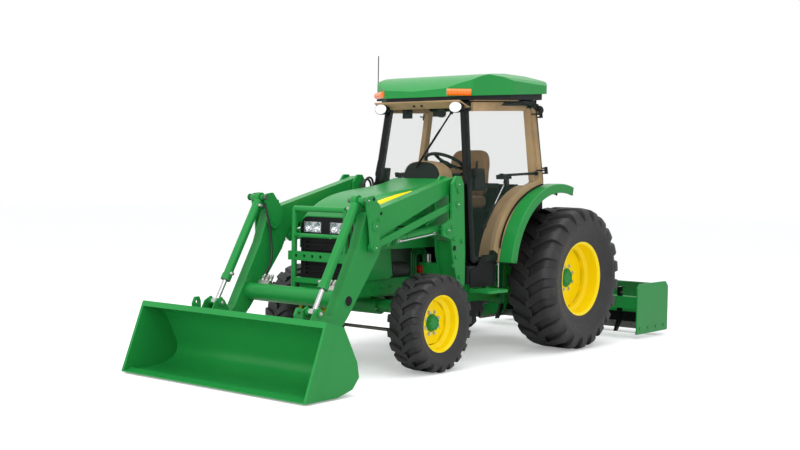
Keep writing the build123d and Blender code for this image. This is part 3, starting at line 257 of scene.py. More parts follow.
def weave(name, colour, thread=420.0, sheen=0.35):
    """Woven seat cloth: crossed threads, a soft sheen and a little mottling."""
    recipe = Recipe(name)
    threads = []
    for direction in ("X", "Y", "Z"):
        wave = recipe.tree.nodes.new("ShaderNodeTexWave")
        wave.bands_direction = direction
        wave.inputs["Scale"].default_value = thread / 6.28
        wave.inputs["Distortion"].default_value = 1.2
        wave.inputs["Detail"].default_value = 1
        recipe.link(recipe.coords, wave.inputs["Vector"])
        threads.append(wave.outputs["Fac"])
    crossed = recipe.mixed(0.5, threads[0], threads[1])
    crossed = recipe.mixed(0.4, crossed, threads[2])
    mottle = recipe.noise(14, 5)
    base = recipe.tones(mottle, colour, (0.3, 0.82), (0.7, 1.1))
    depth = recipe.grey_ramp(crossed, [(0.2, 0.72), (0.8, 1.0)])
    recipe.colour(recipe.mixed(1.0, base, depth, "MULTIPLY"))
    recipe.bump(crossed, 0.35, 0.0009)
    recipe.rough(recipe.grey_ramp(mottle, [(0.3, 0.8), (0.7, 0.95)]))
    recipe.constant(Sheen_Weight=sheen, Sheen_Roughness=0.4)
    return recipe.material


GREEN = srgb(30, 134, 60)
YELLOW = srgb(255, 222, 6)
TAN = srgb(176, 146, 108)
green = paint("green_paint_coat", GREEN)
# The green paint at 0.6 of its brightness: painted shade, used on the pipes beside the engine
painted_shade_green = paint("green_paint_shaded", shade(GREEN, 0.6), 0.45)
yellow = paint("yellow_paint_coat", YELLOW, 0.34)
black = paint("black_paint_coat", srgb(12, 13, 14), 0.3, 0.14)
grey_plastic = moulded("grey_moulding", srgb(36, 38, 40), 0.5)
black_plastic = moulded("black_moulding", srgb(20, 21, 22), 0.5)
tan_trim = moulded("tan_moulding", TAN, 0.6, 700)
tan_cloth = weave("tan_seat_cloth", srgb(150, 116, 80))
window = glass("window_glass", srgb(66, 98, 80), 0.06)
lens_cover = glass("lens_cover", srgb(205, 212, 216), 0.12)
# Both lens finishes carry a painted glow in their emission
lamp_clear = lens("lamp_lens_clear", srgb(240, 241, 245), 0.2)
lamp_amber = lens("lamp_lens_amber", srgb(250, 112, 0), 0.05, shine=0.25)
tyre_rubber = rubber("tyre_rubber", srgb(35, 33, 35))
hose_rubber = rubber("hose_rubber", srgb(30, 30, 31), 0.5)
cast_iron = cast("cast_housing", srgb(44, 66, 48))
engine_black = cast("engine_casting", srgb(30, 32, 31))
steel = metal("bright_rod", srgb(205, 206, 208), 0.18)
zinc = metal("zinc_plate", srgb(190, 190, 186), 0.3)
worn = metal("worn_edge", srgb(120, 118, 114), 0.42, (1, 8, 1))
reflector = metal("lamp_reflector", srgb(225, 227, 230), 0.12)
red_paint = paint("red_cap_paint", srgb(160, 26, 22), 0.35)

NODE_FINISH = {
    "green_paint": green,
    "yellow_paint": yellow,
    "black_paint": black,
    "grey_plastic": grey_plastic,
    "black_plastic": black_plastic,
    "tan_trim": tan_trim,
    "seat_cover": tan_cloth,
    "glass": window,
    "lamp_glass": lamp_clear,
    "amber_plastic": lamp_amber,
    "tyre": tyre_rubber,
    "cast_metal": cast_iron,
    "bright_steel": steel,
    "worn_steel": worn,
}
NODE_SLOT = {row["node"]: row["material_slot"] for row in frame["record"]["subparts"]}
for node_name, node in nodes.items():
    node.data.materials.clear()
    node.data.materials.append(NODE_FINISH[NODE_SLOT[node_name]])

# Mesh helpers


def prism(count):
    """Faces of a plate whose first outline of count points is followed by its second."""
    sides = [(i, i + count, (i + 1) % count + count, (i + 1) % count) for i in range(count)]
    return [list(range(count)), [2 * count - 1 - i for i in range(count)], *sides]


def turned(rows, count, spans):
    """Faces round a ring of rows, each with count points."""
    faces = []
    for k in range(rows):
        start, following = k * count, (k + 1) % rows * count
        for i in range(spans):
            j = (i + 1) % count
            faces.append((start + i, start + j, following + j, following + i))
    return faces


def grid(rows, count):
    """Faces of an open sheet of rows, each with count points."""
    starts = [row * count + k for row in range(rows - 1) for k in range(count - 1)]
    return [(a, a + 1, a + count + 1, a + count) for a in starts]


class Form:
    """Collects the shapes of one piece into one mesh."""

    def __init__(self, name):
        self.name = name
        self.verts = []
        self.faces = []
        self.tags = []
        self.materials = []

    def add(self, verts, faces, material):
        if material not in self.materials:
            self.materials.append(material)
        start = len(self.verts)
        self.verts.extend(Vector(v) for v in verts)
        self.faces.extend([start + i for i in face] for face in faces)
        self.tags.extend([self.materials.index(material)] * len(faces))

    def box(self, low, high, material, turn=None):
        low, high = Vector(low), Vector(high)
        corners = [
            Vector((x, y, z)) for x in (low.x, high.x) for y in (low.y, high.y) for z in (low.z, high.z)
        ]
        if turn is not None:
            middle = (low + high) / 2
            corners = [middle + turn @ (c - middle) for c in corners]
        faces = [(0, 1, 3, 2), (4, 6, 7, 5), (0, 4, 5, 1), (2, 3, 7, 6), (0, 2, 6, 4), (1, 5, 7, 3)]
        self.add(corners, faces, material)

    def lathe(self, centre, axis, profile, material, segments=48, closed=False):
        """Turns (along, out) points round an axis."""
        axis = Vector(axis).normalized()
        side = axis.orthogonal().normalized()
        up = axis.cross(side)
        verts = []
        for k in range(segments):
            turn = 2 * math.pi * k / segments
            way = side * math.cos(turn) + up * math.sin(turn)
            verts.extend(Vector(centre) + axis * along + way * out for along, out in profile)
        count = len(profile)
        faces = turned(segments, count, count if closed else count - 1)
        if not closed:
            faces.append([k * count for k in range(segments)])
            faces.append([k * count + count - 1 for k in reversed(range(segments))])
        self.add(verts, faces, material)

    def rod(self, start, end, radius, material, segments=20, chamfer=0.0):
        start, end = Vector(start), Vector(end)
        run = (end - start).length
        cap = min(chamfer, run / 3, radius / 2)
        profile = [(0, radius - cap), (cap, radius), (run - cap, radius), (run, radius - cap)]
        if not cap:
            profile = [(0, radius), (run, radius)]
        self.lathe(start, end - start, profile, material, segments)

    def plate(self, outline, y_low, y_high, material):
        """A flat plate with an (x, z) outline in millimetres, between two values of y."""
        verts = [at(x, y, z) for y in (y_low, y_high) for x, z in outline]
        self.add(verts, prism(len(outline)), material)

    def hexagon(self, centre, axis, across, height, material):
        """A bolt head with a washer under it."""
        centre, axis = Vector(centre), Vector(axis).normalized()
        self.lathe(centre, axis, [(0, across * 0.72), (height * 0.25, across * 0.72)], material, 18)
        top = height * 0.9
        profile = [(0, across * 0.577), (top, across * 0.577), (height, across * 0.45)]
        self.lathe(centre, axis, profile, material, 6)

    def loose(self, sharp=32.0):
        """The piece as an object that rides no body yet."""
        mesh = bpy.data.meshes.new(self.name)
        mesh.from_pydata([tuple(v) for v in self.verts], [], self.faces)
        for material in self.materials:
            mesh.materials.append(material)
        mesh.polygons.foreach_set("material_index", self.tags)
        piece = bpy.data.objects.new(self.name, mesh)
        bpy.context.scene.collection.objects.link(piece)
        tidy_mesh(piece, sharp)
        return piece

    def done(self, body, bevel=0.0, segments=2, sharp=32.0):
        piece = self.loose(sharp)
        if bevel:
            soften(piece, bevel, segments)
        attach(piece, body)
        return piece


def tidy_mesh(piece, sharp=32.0):
    """Turns faces outwards and marks the edges that stay sharp."""
    bm = bmesh.new()
    bm.from_mesh(piece.data)
    bmesh.ops.recalc_face_normals(bm, faces=bm.faces)
    limit = math.radians(sharp)
    for face in bm.faces:
        face.smooth = True
    for edge in bm.edges:
        edge.smooth = len(edge.link_faces) == 2 and edge.calc_face_angle(0) < limit
    bm.to_mesh(piece.data)
    bm.free()


def soften(piece, width, segments=2, angle=38.0):
    """Rounds a piece's sharp edges, so that they catch the light."""
    modifier = piece.modifiers.new("edges", "BEVEL")
    modifier.width = width
    modifier.segments = segments
    modifier.limit_method = "ANGLE"
    modifier.angle_limit = math.radians(angle)
    modifier.harden_normals = True
    return modifier


def soften_node(name, width, segments=2):
    """The same for a CAD node, whose split corners are welded first."""
    node = nodes[name]
    weld = node.modifiers.new("weld", "WELD")
    weld.merge_threshold = 0.00005
    soften(node, width, segments)
    shading = node.modifiers.new("shading", "WEIGHTED_NORMAL")
    shading.keep_sharp = False
    shading.weight = 80


def lengths(points):
    run = [0.0]
    for a, b in zip(points, points[1:]):
        run.append(run[-1] + math.dist(a, b))
    return run


def eased(points, count):
    """Points evenly spaced along a smooth curve through (a, b) points."""
    ends = [points[0], *points, points[-1]]
    dense = []
    for a, b, c, d in zip(ends, ends[1:], ends[2:], ends[3:]):
        for k in range(24):
            t = k / 24
            spot = []
            for p, q, r, s in zip(a, b, c, d):
                bend = (2 * p - 5 * q + 4 * r - s) * t**2 + (3 * q - p - 3 * r + s) * t**3
                spot.append(0.5 * (2 * q + (r - p) * t + bend))
            dense.append(tuple(spot))
    dense.append(tuple(points[-1]))
    run = lengths(dense)
    made = []
    i = 0
    for k in range(count):
        want = run[-1] * k / (count - 1)
        while i < len(run) - 2 and run[i + 1] < want:
            i += 1
        share = (want - run[i]) / max(run[i + 1] - run[i], 1e-9)
        made.append(tuple(a + (b - a) * share for a, b in zip(dense[i], dense[i + 1])))
    return made


# Tyres with industrial lugs, and their rims


def make_tyre(name, body, node, x, y, side, radius, width, flange, seat, rim_width, lugs, depth):
    """A lugged tyre round an axle along Y. side is 1 on the left and -1 on the right."""
    wall = radius - flange
    half = width / 2
    bead = rim_width / 2 - 9
    outer = eased(
        [
            (0, radius - 0.5),
            (half * 0.35, radius - 0.8),
            (half - wall * 0.2, radius - wall * 0.02),
            (half - wall * 0.05, radius - wall * 0.11),
            (half - 1, radius - wall * 0.3),
            (half - wall * 0.012, radius - wall * 0.5),
            (half - wall * 0.1, flange + wall * 0.22),
            (bead + 10, flange + 3),
        ],
        34,
    )
    run = lengths(outer)
    lug_end = next(s for s, p in zip(run, outer) if p[1] < radius - wall * 0.4)

    def carcass_depth(s):
        share = min(1.0, max(0.0, (lug_end * 1.08 - s) / (lug_end * 0.42)))
        return depth * share * share * (3 - 2 * share)

    def spot(s):
        """The outer section at an arc length, and its direction outwards."""
        s = min(max(s, 0.0), run[-1])
        i = min(max(sum(1 for r in run if r <= s) - 1, 0), len(run) - 2)
        share = (s - run[i]) / (run[i + 1] - run[i])
        a, b = outer[i], outer[i + 1]
        across = a[0] + (b[0] - a[0]) * share
        out = a[1] + (b[1] - a[1]) * share
        dx, dz = b[0] - a[0], b[1] - a[1]
        size = math.hypot(dx, dz)
        return across, out, -dz / size, dx / size

    centre = at(x, y * side, radius)

    def place(across, out, turn):
        return centre + Vector((out * math.sin(turn), across * side, out * math.cos(turn))) / 1000

    form = Form(name)
    profile = []
    steps = 30
    for k in range(steps + 1):
        s = run[-1] * k / steps
        across, out, nx, nz = spot(s)
        sunk = carcass_depth(s)
        profile.append((across - nx * sunk, out - nz * sunk))
    ridge = []
    for across, out in profile:
        share = (out - flange) / wall
        lift = 0.0
        if 0.08 < share < 0.14 or 0.30 < share < 0.325 or 0.40 < share < 0.415:
            lift = 2.5
        ridge.append((across + lift, out))
    profile = ridge + [(bead + 9, flange - 4), (bead, flange - 8), (bead, seat + 1), (bead - 30, seat + 1)]
    ring = [(-a, o) for a, o in reversed(profile[1:])] + profile
    segments = 132
    count = len(ring)
    verts = [place(a, o, 2 * math.pi * k / segments) for k in range(segments) for a, o in ring]
    form.add(verts, turned(segments, count, count), tyre_rubber)

    pitch = 2 * math.pi / lugs
    reach = half * 0.1
    stations = 13
    for flip in (1, -1):
        for lug in range(lugs):
            start = pitch * (lug + (0.5 if flip < 0 else 0.0))
            rows = []
            for k in range(stations):
                t = k / (stations - 1)
                s = lug_end * (1 - t) - reach * t
                mirror = -1 if s < 0 else 1
                across, out, nx, nz = spot(abs(s))
                across *= mirror
                nx *= mirror
                bend = max(0.0, t - 0.42) / 0.58
                lead = pitch * (0.10 * t + 0.62 * bend**1.25)
                swell = 1.0 - 0.22 * t - 0.1 * math.cos(min(1.0, t * 4) * math.pi / 2)
                wide = pitch * radius * 0.27 * swell
                sink = carcass_depth(abs(s)) + 4
                grow = 1.0 + 0.2 * sink / depth
                top = 0.0 if t > 0.06 else -1.5
                row = []
                section = [(w, -top) for w in (-1, -0.35, 0.35, 1)]
                for w, drop in ((-grow, sink), *section, (grow, sink)):
                    turn = start + lead + w * wide / radius
                    row.append(place((across - nx * drop) * flip, out - nz * drop, turn))
                rows.append(row)
            size = len(rows[0])
            verts = [v for row in rows for v in row]
            faces = grid(stations, size)
            faces.append(list(range(size)))
            faces.append([(stations - 1) * size + size - 1 - i for i in range(size)])
            form.add(verts, faces, tyre_rubber)
    piece = form.done(body, bevel=0.0028, segments=2, sharp=40)
    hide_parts(node)
    return piece


def make_rim(name, body, node, x, y, side, z, width, flange, seat, disc_y, hub, hub_reach, studs):
    """A pressed rim with a cut-cornered disc, a hub and its wheel bolts."""
    half = width / 2
    well = seat - 28
    axis = Vector((0, side, 0))
    centre = at(x, y * side, z)
    form = Form(name)
    lip = [
        (half - 10, seat - 1),
        (half - 12, flange - 12),
        (half - 9, flange - 3),
        (half - 3, flange),
        (half + 1, flange - 4),
        (half, flange - 12),
        (half - 5, seat + 2),
        (half - 16, seat - 7),
    ]
    shell = [
        (half * 0.36 + 6, seat - 10),
        (half * 0.36 - 16, well - 9),
        (-half * 0.36 + 16, well - 9),
        (-half * 0.36 - 6, seat - 10),
        (-half + 16, seat - 7),
    ]
    far_lip = [(-a, o) for a, o in reversed(lip[:-1])]
    outside = [
        (-half + 16, seat - 0.5),
        (-half * 0.36 - 12, seat - 0.5),
        (-half * 0.36 + 12, well),
        (half * 0.36 - 12, well),
        (half * 0.36 + 12, seat - 0.5),
        (half - 16, seat - 0.5),
    ]
    ring = [(a / 1000, o / 1000) for a, o in lip + shell + far_lip + outside]
    form.lathe(centre, axis, ring, yellow, 96, closed=True)
    # The disc, pressed outwards at the middle, with eight straight sides
    radius = well - 4
    offset = disc_y - y
    rows = [
        (1.0, offset - 12),
        (1.0, offset - 2),
        (0.97, offset),
        (0.62, offset),
        (0.55, offset + 6),
        (0.3, offset + 6),
        (0.0, offset + 6),
    ]
    sides = 96
    verts = []
    for share, along in rows:
        for k in range(sides):
            turn = 2 * math.pi * k / sides
            octagon = math.cos(math.pi / 8) / math.cos((turn + math.pi / 8) % (math.pi / 4) - math.pi / 8)
            blend = min(1.0, max(0.0, (share - 0.6) / 0.3))
            out = radius * share * (1 - blend + blend * (0.5 + 0.5 * octagon if share < 0.99 else octagon))
            out = min(out, radius + 6)
            verts.append(centre + Vector((out * math.cos(turn), along * side, out * math.sin(turn))) / 1000)
    faces = []
    for row in range(len(rows) - 1):
        for k in range(sides):
            j = (k + 1) % sides
            faces.append((row * sides + k, row * sides + j, (row + 1) * sides + j, (row + 1) * sides + k))
    faces.append(list(range(sides)))
    form.add(verts, faces, yellow)
    # Eight welded blocks that tie the disc to the rim
    for k in range(8):
        turn = math.pi / 4 * k
        way = Vector((math.cos(turn), 0, math.sin(turn)))
        tangent = Vector((-math.sin(turn), 0, math.cos(turn)))
        foot = centre + way * (radius - 4) / 1000 + axis * (offset - 12) / 1000
        corners = []
        for b in (0, 1):
            for a, c in ((-1, 0), (1, 0), (1, 1), (-1, 1)):
                corners.append(foot + tangent * a * 0.045 + way * b * 0.014 - axis * c * 0.02)
        form.add(corners, prism(4), yellow)
    # Hub, its cap and bolts
    reach = offset + hub_reach
    hub_profile = [
        (offset + 5, hub * 1.12),
        (offset + 9, hub * 1.12),
        (offset + 11, hub * 0.98),
        (reach - 8, hub * 0.94),
        (reach - 1, hub * 0.86),
        (reach, hub * 0.62),
        (reach - 3, hub * 0.58),
        (reach - 3, 0.5),
    ]
    form.lathe(centre, axis, [(a / 1000, o / 1000) for a, o in hub_profile], green, 48)
    for k in range(studs):
        turn = 2 * math.pi * (k + 0.5) / studs
        way = Vector((math.cos(turn), 0, math.sin(turn)))
        form.hexagon(centre + way * hub * 1.42 / 1000 + axis * (offset + 4) / 1000, axis, 0.021, 0.015, zinc)
        form.hexagon(centre + way * hub * 0.76 / 1000 + axis * (reach - 3) / 1000, axis, 0.013, 0.008, green)
    # Valve stem
    stem = centre + Vector((seat - 22, 0, 0)) / 1000 + axis * (offset + 14) / 1000
    form.rod(stem, stem + axis * 0.035 + Vector((-0.006, 0, 0)), 0.005, black_plastic, 12)
    piece = form.done(body, bevel=0.0022, segments=2, sharp=28)
    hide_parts(node)
    return piece


# For each axle: x, y, tyre radius and width, rim flange, seat and width, lugs and their depth, disc and hub
WHEELS = {
    "rear": (0, 676, 622, 448, 327, 305, 350, 22, 30, 690, 76, 28),
    "front": (1893, 646, 375, 282, 222, 207, 216, 20, 22, 652, 62, 38),
}
STUDS = 8
for way, side in (("left", 1), ("right", -1)):
    for end, sizes in WHEELS.items():
        x, y, radius, width, flange, seat, rim_width, lugs, depth, disc_y, hub, hub_reach = sizes
        body = f"{end}_wheel_{way}"
        tyre_name, tyre_node = f"{end}_lug_tyre_{way}", f"{end}_tyre_{way}"
        make_tyre(tyre_name, body, tyre_node, x, y, side, radius, width, flange, seat, rim_width, lugs, depth)
        rim_name, rim_node = f"{end}_pressed_rim_{way}", f"{end}_rim_{way}"
        rim_sizes = rim_width, flange, seat, disc_y, hub, hub_reach, STUDS
        make_rim(rim_name, body, rim_node, x, y, side, radius, *rim_sizes)

# Softer edges on the CAD pieces that stay in view

EDGE_WIDTHS = {
    0.002: "grille",
    0.003: "loader_masts level_links bellcranks front_guard bucket box_blade cab_floor arch_trim steps "
    "front_frame lower_links hitch_frame",
    0.004: "loader_boom roof_band cab_frame front_axle lift_arms",
    0.006: "fenders seat_base engine transmission",
    0.008: "roof",
    0.009: "side_tanks",
}
for width, names in EDGE_WIDTHS.items():
    for node_name in names.split():
        soften_node(node_name, width)

# The frame's arch over each wheel and the inside of its rear posts are trimmed in tan

frame_node = nodes["cab_frame"]
frame_node.data.materials.append(tan_trim)
for face in frame_node.data.polygons:
    middle = frame_node.matrix_world @ face.center
    x, z = (middle.x + AXLE_TO_MIDDLE) * 1000, middle.z * 1000
    over_wheel = math.hypot(x - ARCH_X, z - ARCH_Z) < 850 and 885 < z < 1460
    rear_post = x < 458 and 1440 < z < 2090
    behind_door = abs(middle.y) * 1000 < 684 - 0.22 * (x - 395) - 0.135 * (z - 1485)
    if (over_wheel or rear_post) and behind_door and face.normal.x > -0.5:
        face.material_index = 1

# Cab: lining and pillar covers


def under_roof(x):
    """Height of the roof's underside, which falls towards the front."""
    return 2116 + 0.0552 * (1315 - x)


def slab(form, corners, thickness, material):
    """A thin plate hung under (x, y, z) corners in millimetres."""
    verts = [at(x, y, z - drop) for drop in (0, thickness) for x, y, z in corners]
    form.add(verts, prism(len(corners)), material)


lining = Form("cab_lining")
for front, rear, front_y, rear_y, dip in ((1306, 1194, 452, 470, 56), (1132, 446, 478, 555, 0)):
    low_front, low_rear = under_roof(front) - 1, under_roof(rear) - 1 - dip
    slab(
        lining,
        [
            (front, -front_y, low_front),
            (front, front_y, low_front),
            (rear, rear_y, low_rear),
            (rear, -rear_y, low_rear),
        ],
        9,
        tan_trim,
    )
for hand in (1, -1):
    # Trim along the top of each side, and a cover on each rear pillar
    slab(
        lining,
        [
            (1128, 462 * hand, 2108),
            (1128, 436 * hand, 2108),
            (456, 512 * hand, 2144),
            (456, 540 * hand, 2144),
        ],
        74,
        tan_trim,
    )
    pillar = []
    for z, x_low, x_high, inner, outer in ((1448, 402, 476, 592, 646), (2092, 402, 462, 508, 556)):
        pillar.extend(
            at(x, y * hand, z) for x, y in ((x_low, inner), (x_high, inner), (x_high, outer), (x_low, outer))
        )
    sides = [(i, (i + 1) % 4, 4 + (i + 1) % 4, 4 + i) for i in range(4)]
    lining.add(pillar, [(3, 2, 1, 0), (4, 5, 6, 7), *sides], tan_trim)
for y in (-60, 20):
    lining.rod(at(1250, y, 2092), at(1252, y, 2070), 0.011, black_plastic, 16, 0.002)
lining.done("chassis", 0.004, 2)

# Dash: a pedestal under an arched cowl with a dark front
dash = Form("dash_cowl")
pedestal = [(985, 800), (1008, 1440), (1060, 1520), (1200, 1500), (1232, 1380), (1232, 800)]
dash.plate(pedestal, -186, 186, black_plastic)
arch = []
for k in range(25):
    turn = math.pi * k / 24
    reach = math.copysign(abs(math.cos(turn)) ** 0.62, math.cos(turn))
    arch.append((reach * 206, abs(math.sin(turn)) ** 0.72))
rows = []
for x, low, tall, share in (
    (1008, 1446, 128, 0.8),
    (1026, 1440, 160, 0.93),
    (1075, 1432, 186, 1.0),
    (1150, 1428, 198, 1.0),
    (1203, 1424, 194, 0.97),
    (1208, 1424, 190, 0.95),
):
    rows.append([at(x, y * share, low + rise * tall) for y, rise in arch])
count = len(arch)
verts = [spot for row in rows for spot in row]
dash.add(verts, grid(len(rows), count), tan_trim)
front_face = [at(1206, y * 0.93, 1424 + rise * 184) for y, rise in arch]
swell = [at(1212, y * 0.7, 1440 + rise * 130) for y, rise in arch]
faces = [(k, k + 1, count + k + 1, count + k) for k in range(count - 1)]
faces.append([count + k for k in range(count)])
dash.add(front_face + swell, faces, black_plastic)
back_face = [at(1010, y * 0.78, 1446 + rise * 124) for y, rise in arch]
dash.add(back_face, [list(range(count))], black_plastic)
for y in (-70, 0, 70):
    dial = [(0, 0.03), (0.006, 0.03), (0.007, 0.026), (0.004, 0.024)]
    dash.lathe(at(1008, y, 1510), (-1, 0, 0.3), dial, zinc, 28)
for y in (-130, 130):
    dash.box(at(1000, y - 22, 1470), at(1010, y + 22, 1500), black_plastic)
piece = dash.done("chassis", 0.003, 2)
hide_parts("dash_console")

wheel_axis = Vector((-0.5, 0, 0.866))
wheel_centre = at(880, 0, 1600)
steering = Form("steering_ring")
ring = [(0.0145 * math.sin(k * math.pi / 6), 0.176 + 0.0145 * math.cos(k * math.pi / 6)) for k in range(12)]
steering.lathe(wheel_centre, wheel_axis, ring, black_plastic, 72, closed=True)
hub = [(-0.03, 0.03), (-0.022, 0.052), (0.0, 0.058), (0.012, 0.05), (0.018, 0.03), (0.019, 0.004)]
steering.lathe(wheel_centre, wheel_axis, hub, black_plastic, 40)
flat = Vector((0.866, 0, 0.5))
for angle in (90, 205, 335):
    turn = math.radians(angle)
    way = flat * math.sin(turn) + Vector((0, 1, 0)) * math.cos(turn)
    across = wheel_axis.cross(way)
    spoke = []
    for out, wide, rise in ((0.045, 0.022, 0.004), (0.11, 0.016, -0.004), (0.168, 0.02, 0.0)):
        middle = wheel_centre + way * out + wheel_axis * rise
        for a, b in ((-1, -1), (1, -1), (1, 1), (-1, 1)):
            spoke.append(middle + across * a * wide + wheel_axis * b * 0.006)
    faces = [(3, 2, 1, 0), (8, 9, 10, 11)]
    for row in (0, 4):
        for i in range(4):
            j = (i + 1) % 4
            faces.append((row + i, row + j, row + 4 + j, row + 4 + i))
    steering.add(spoke, faces, black_plastic)
column_end = at(1020, 0, 1385)
steering.lathe(
    column_end,
    wheel_centre - column_end,
    [(0, 0.05), (0.06, 0.048), (0.12, 0.034), (0.23, 0.03)],
    black_plastic,
    28,
)
for hand in (1, -1):
    stalk_start = wheel_centre - wheel_axis * 0.07
    stalk_end = stalk_start + Vector((0.03, 0.13 * hand, 0.04))
    steering.rod(stalk_start, stalk_end, 0.006, black_plastic, 14, 0.002)
    steering.rod(stalk_end, stalk_end + (stalk_end - stalk_start) * 0.25, 0.009, black_plastic, 14, 0.003)
piece = steering.done("chassis", 0.0015, 2)
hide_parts("steering_wheel")

# Side console with its levers, and the pedals
consoles = Form("side_console")
outline = [(520, 1190), (540, 1330), (700, 1372), (905, 1362), (940, 1300), (930, 1190)]
consoles.plate(outline, -425, -345, black_plastic)
for x, y, tall, tint in (
    (820, -385, 170, black_plastic),
    (740, -372, 92, red_paint),
    (690, -398, 84, yellow),
):
    foot = at(x, y, 1355)
    tip = at(x + 14, y, 1368 + tall)
    consoles.rod(foot, tip, 0.006, zinc, 14)
    knob = [(-0.004, 0.008), (0.006, 0.015), (0.024, 0.019), (0.042, 0.014), (0.047, 0.004)]
    consoles.lathe(tip, tip - foot, knob, tint, 22)
    boot = [(0, 0.03), (0.008, 0.026), (0.014, 0.028), (0.02, 0.02), (0.026, 0.021), (0.034, 0.01)]
    consoles.lathe(foot, (0, 0, 1), boot, black_plastic, 22)
for y in (-120, -40, 210):
    consoles.box(at(1100, y, 935), at(1112, y + 62, 1015), black_plastic, Matrix.Rotation(0.5, 3, "Y"))
    consoles.rod(at(1110, y + 31, 975), at(1200, y + 31, 1060), 0.008, black_plastic, 14)
consoles.done("chassis", 0.005, 2)

# Seat: a stuffed cushion and back, blown up from rounded blocks


def rounded_block(name, half, power, steps, bend):
    """A closed rounded block about the origin, half its size along each axis."""
    bm = bmesh.new()
    bmesh.ops.create_cube(bm, size=2)
    bmesh.ops.subdivide_edges(bm, edges=bm.edges, cuts=steps, use_grid_fill=True)
    for vert in bm.verts:
        size = sum(abs(c) ** power for c in vert.co) ** (1 / power)
        x, y, z = (c / size * h for c, h in zip(vert.co, half))
        vert.co = bend(x, y, z)
    mesh = bpy.data.meshes.new(name)
    bm.to_mesh(mesh)
    bm.free()
    piece = bpy.data.objects.new(name, mesh)
    bpy.context.scene.collection.objects.link(piece)
    return piece


def blown_up(piece, most):
    """Fills a piece like a stuffed cover. No point moves further than most, in metres."""
    remesh = piece.modifiers.new("skin", "REMESH")
    remesh.mode = "VOXEL"
    remesh.voxel_size = 0.009
    bpy.context.view_layer.update()
    whole = bpy.data.meshes.new_from_object(piece.evaluated_get(bpy.context.evaluated_depsgraph_get()))
    piece.modifiers.clear()
    piece.data = whole
    start = [v.co.copy() for v in whole.vertices]
    cloth = piece.modifiers.new("stuffing", "CLOTH")
    cloth.settings.use_pressure = True
    cloth.settings.uniform_pressure_force = 4
    cloth.settings.effector_weights.gravity = 0
    cloth.settings.quality = 4
    scene = bpy.context.scene
    for number in range(1, 17):
        scene.frame_set(number)
    full = piece.evaluated_get(bpy.context.evaluated_depsgraph_get()).to_mesh()
    ends = [v.co.copy() for v in full.vertices]
    piece.modifiers.clear()
    scene.frame_set(1)
    for vert, a, b in zip(whole.vertices, start, ends):
        step = b - a
        vert.co = a + step * min(1.0, most / max(step.length, 1e-6))


def stuffed(name, node, place, half, power, bend, most, panels):
    """One seat piece with stitched seams across its face."""
    piece = rounded_block(name, half, power, 9, bend)
    blown_up(piece, most)
    mesh = piece.data
    mesh.transform(place)
    seams = [place @ Vector(point) for point in panels]
    for vert in mesh.vertices:
        near = min((vert.co - seam).length for seam in seams)
        if near < 0.016:
            vert.co -= vert.normal * 0.006 * (1 - near / 0.016)
    mesh.materials.clear()
    mesh.materials.append(tan_cloth)
    for face in mesh.polygons:
        face.use_smooth = True
    smooth = piece.modifiers.new("smooth", "SUBSURF")
    smooth.levels = 1
    smooth.render_levels = 1
    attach(piece, "chassis")
    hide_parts(node)
    return piece


def cushion_bend(x, y, z):
    """Bolsters along both sides and a lip that rolls down at the front."""
    rise = 0.02 * (abs(y) / 0.23) ** 4 if z > 0 else 0.0
    drop = 0.022 * max(0.0, (x - 0.1) / 0.11) ** 2
    return Vector((x, y, z * 0.94 + rise - drop * (1 if z > 0 else 0.2)))


def back_bend(x, y, z):
    """Narrower at the top, hollow across, with side bolsters."""
    taper = 1 - 0.12 * max(0.0, z / 0.26) ** 2
    wrap = 0.03 * (abs(y) / 0.22) ** 3
    return Vector((x * 0.95 + wrap, y * taper, z))


SHARES = [k / 59 for k in range(60)]
seam_rows = [(-0.2 + 0.4 * share, y, 0.055) for share in SHARES for y in (-0.135, 0.135)]
seam_rows += [(0.06, -0.135 + 0.27 * share, 0.057) for share in SHARES]
stuffed(
    "seat_pad",
    "seat_cushion",
    Matrix.Translation(at(708, 0, 1276)),
    (0.204, 0.217, 0.05),
    6,
    cushion_bend,
    0.01,
    seam_rows,
)
seam_rows = [(0.052, y, -0.2 + 0.4 * share) for share in SHARES for y in (-0.125, 0.125)]
seam_rows += [(0.05, -0.125 + 0.25 * share, 0.06) for share in SHARES]
stuffed(
    "seat_rest",
    "seat_back",
    Matrix.Translation(at(508, 0, 1528)) @ Matrix.Rotation(math.radians(-7), 4, "Y"),
    (0.045, 0.208, 0.215),
    5,
    back_bend,
    0.009,
    seam_rows,
)

# Wheel wells: a dark wall and lining under each rear fender, their black partly painted shade, and the shield
# below the door


def on_arch(reach, turn):
    """A point (x, z) on an arch round the rear wheel."""
    return ARCH_X + reach * math.cos(turn), ARCH_Z + reach * math.sin(turn)


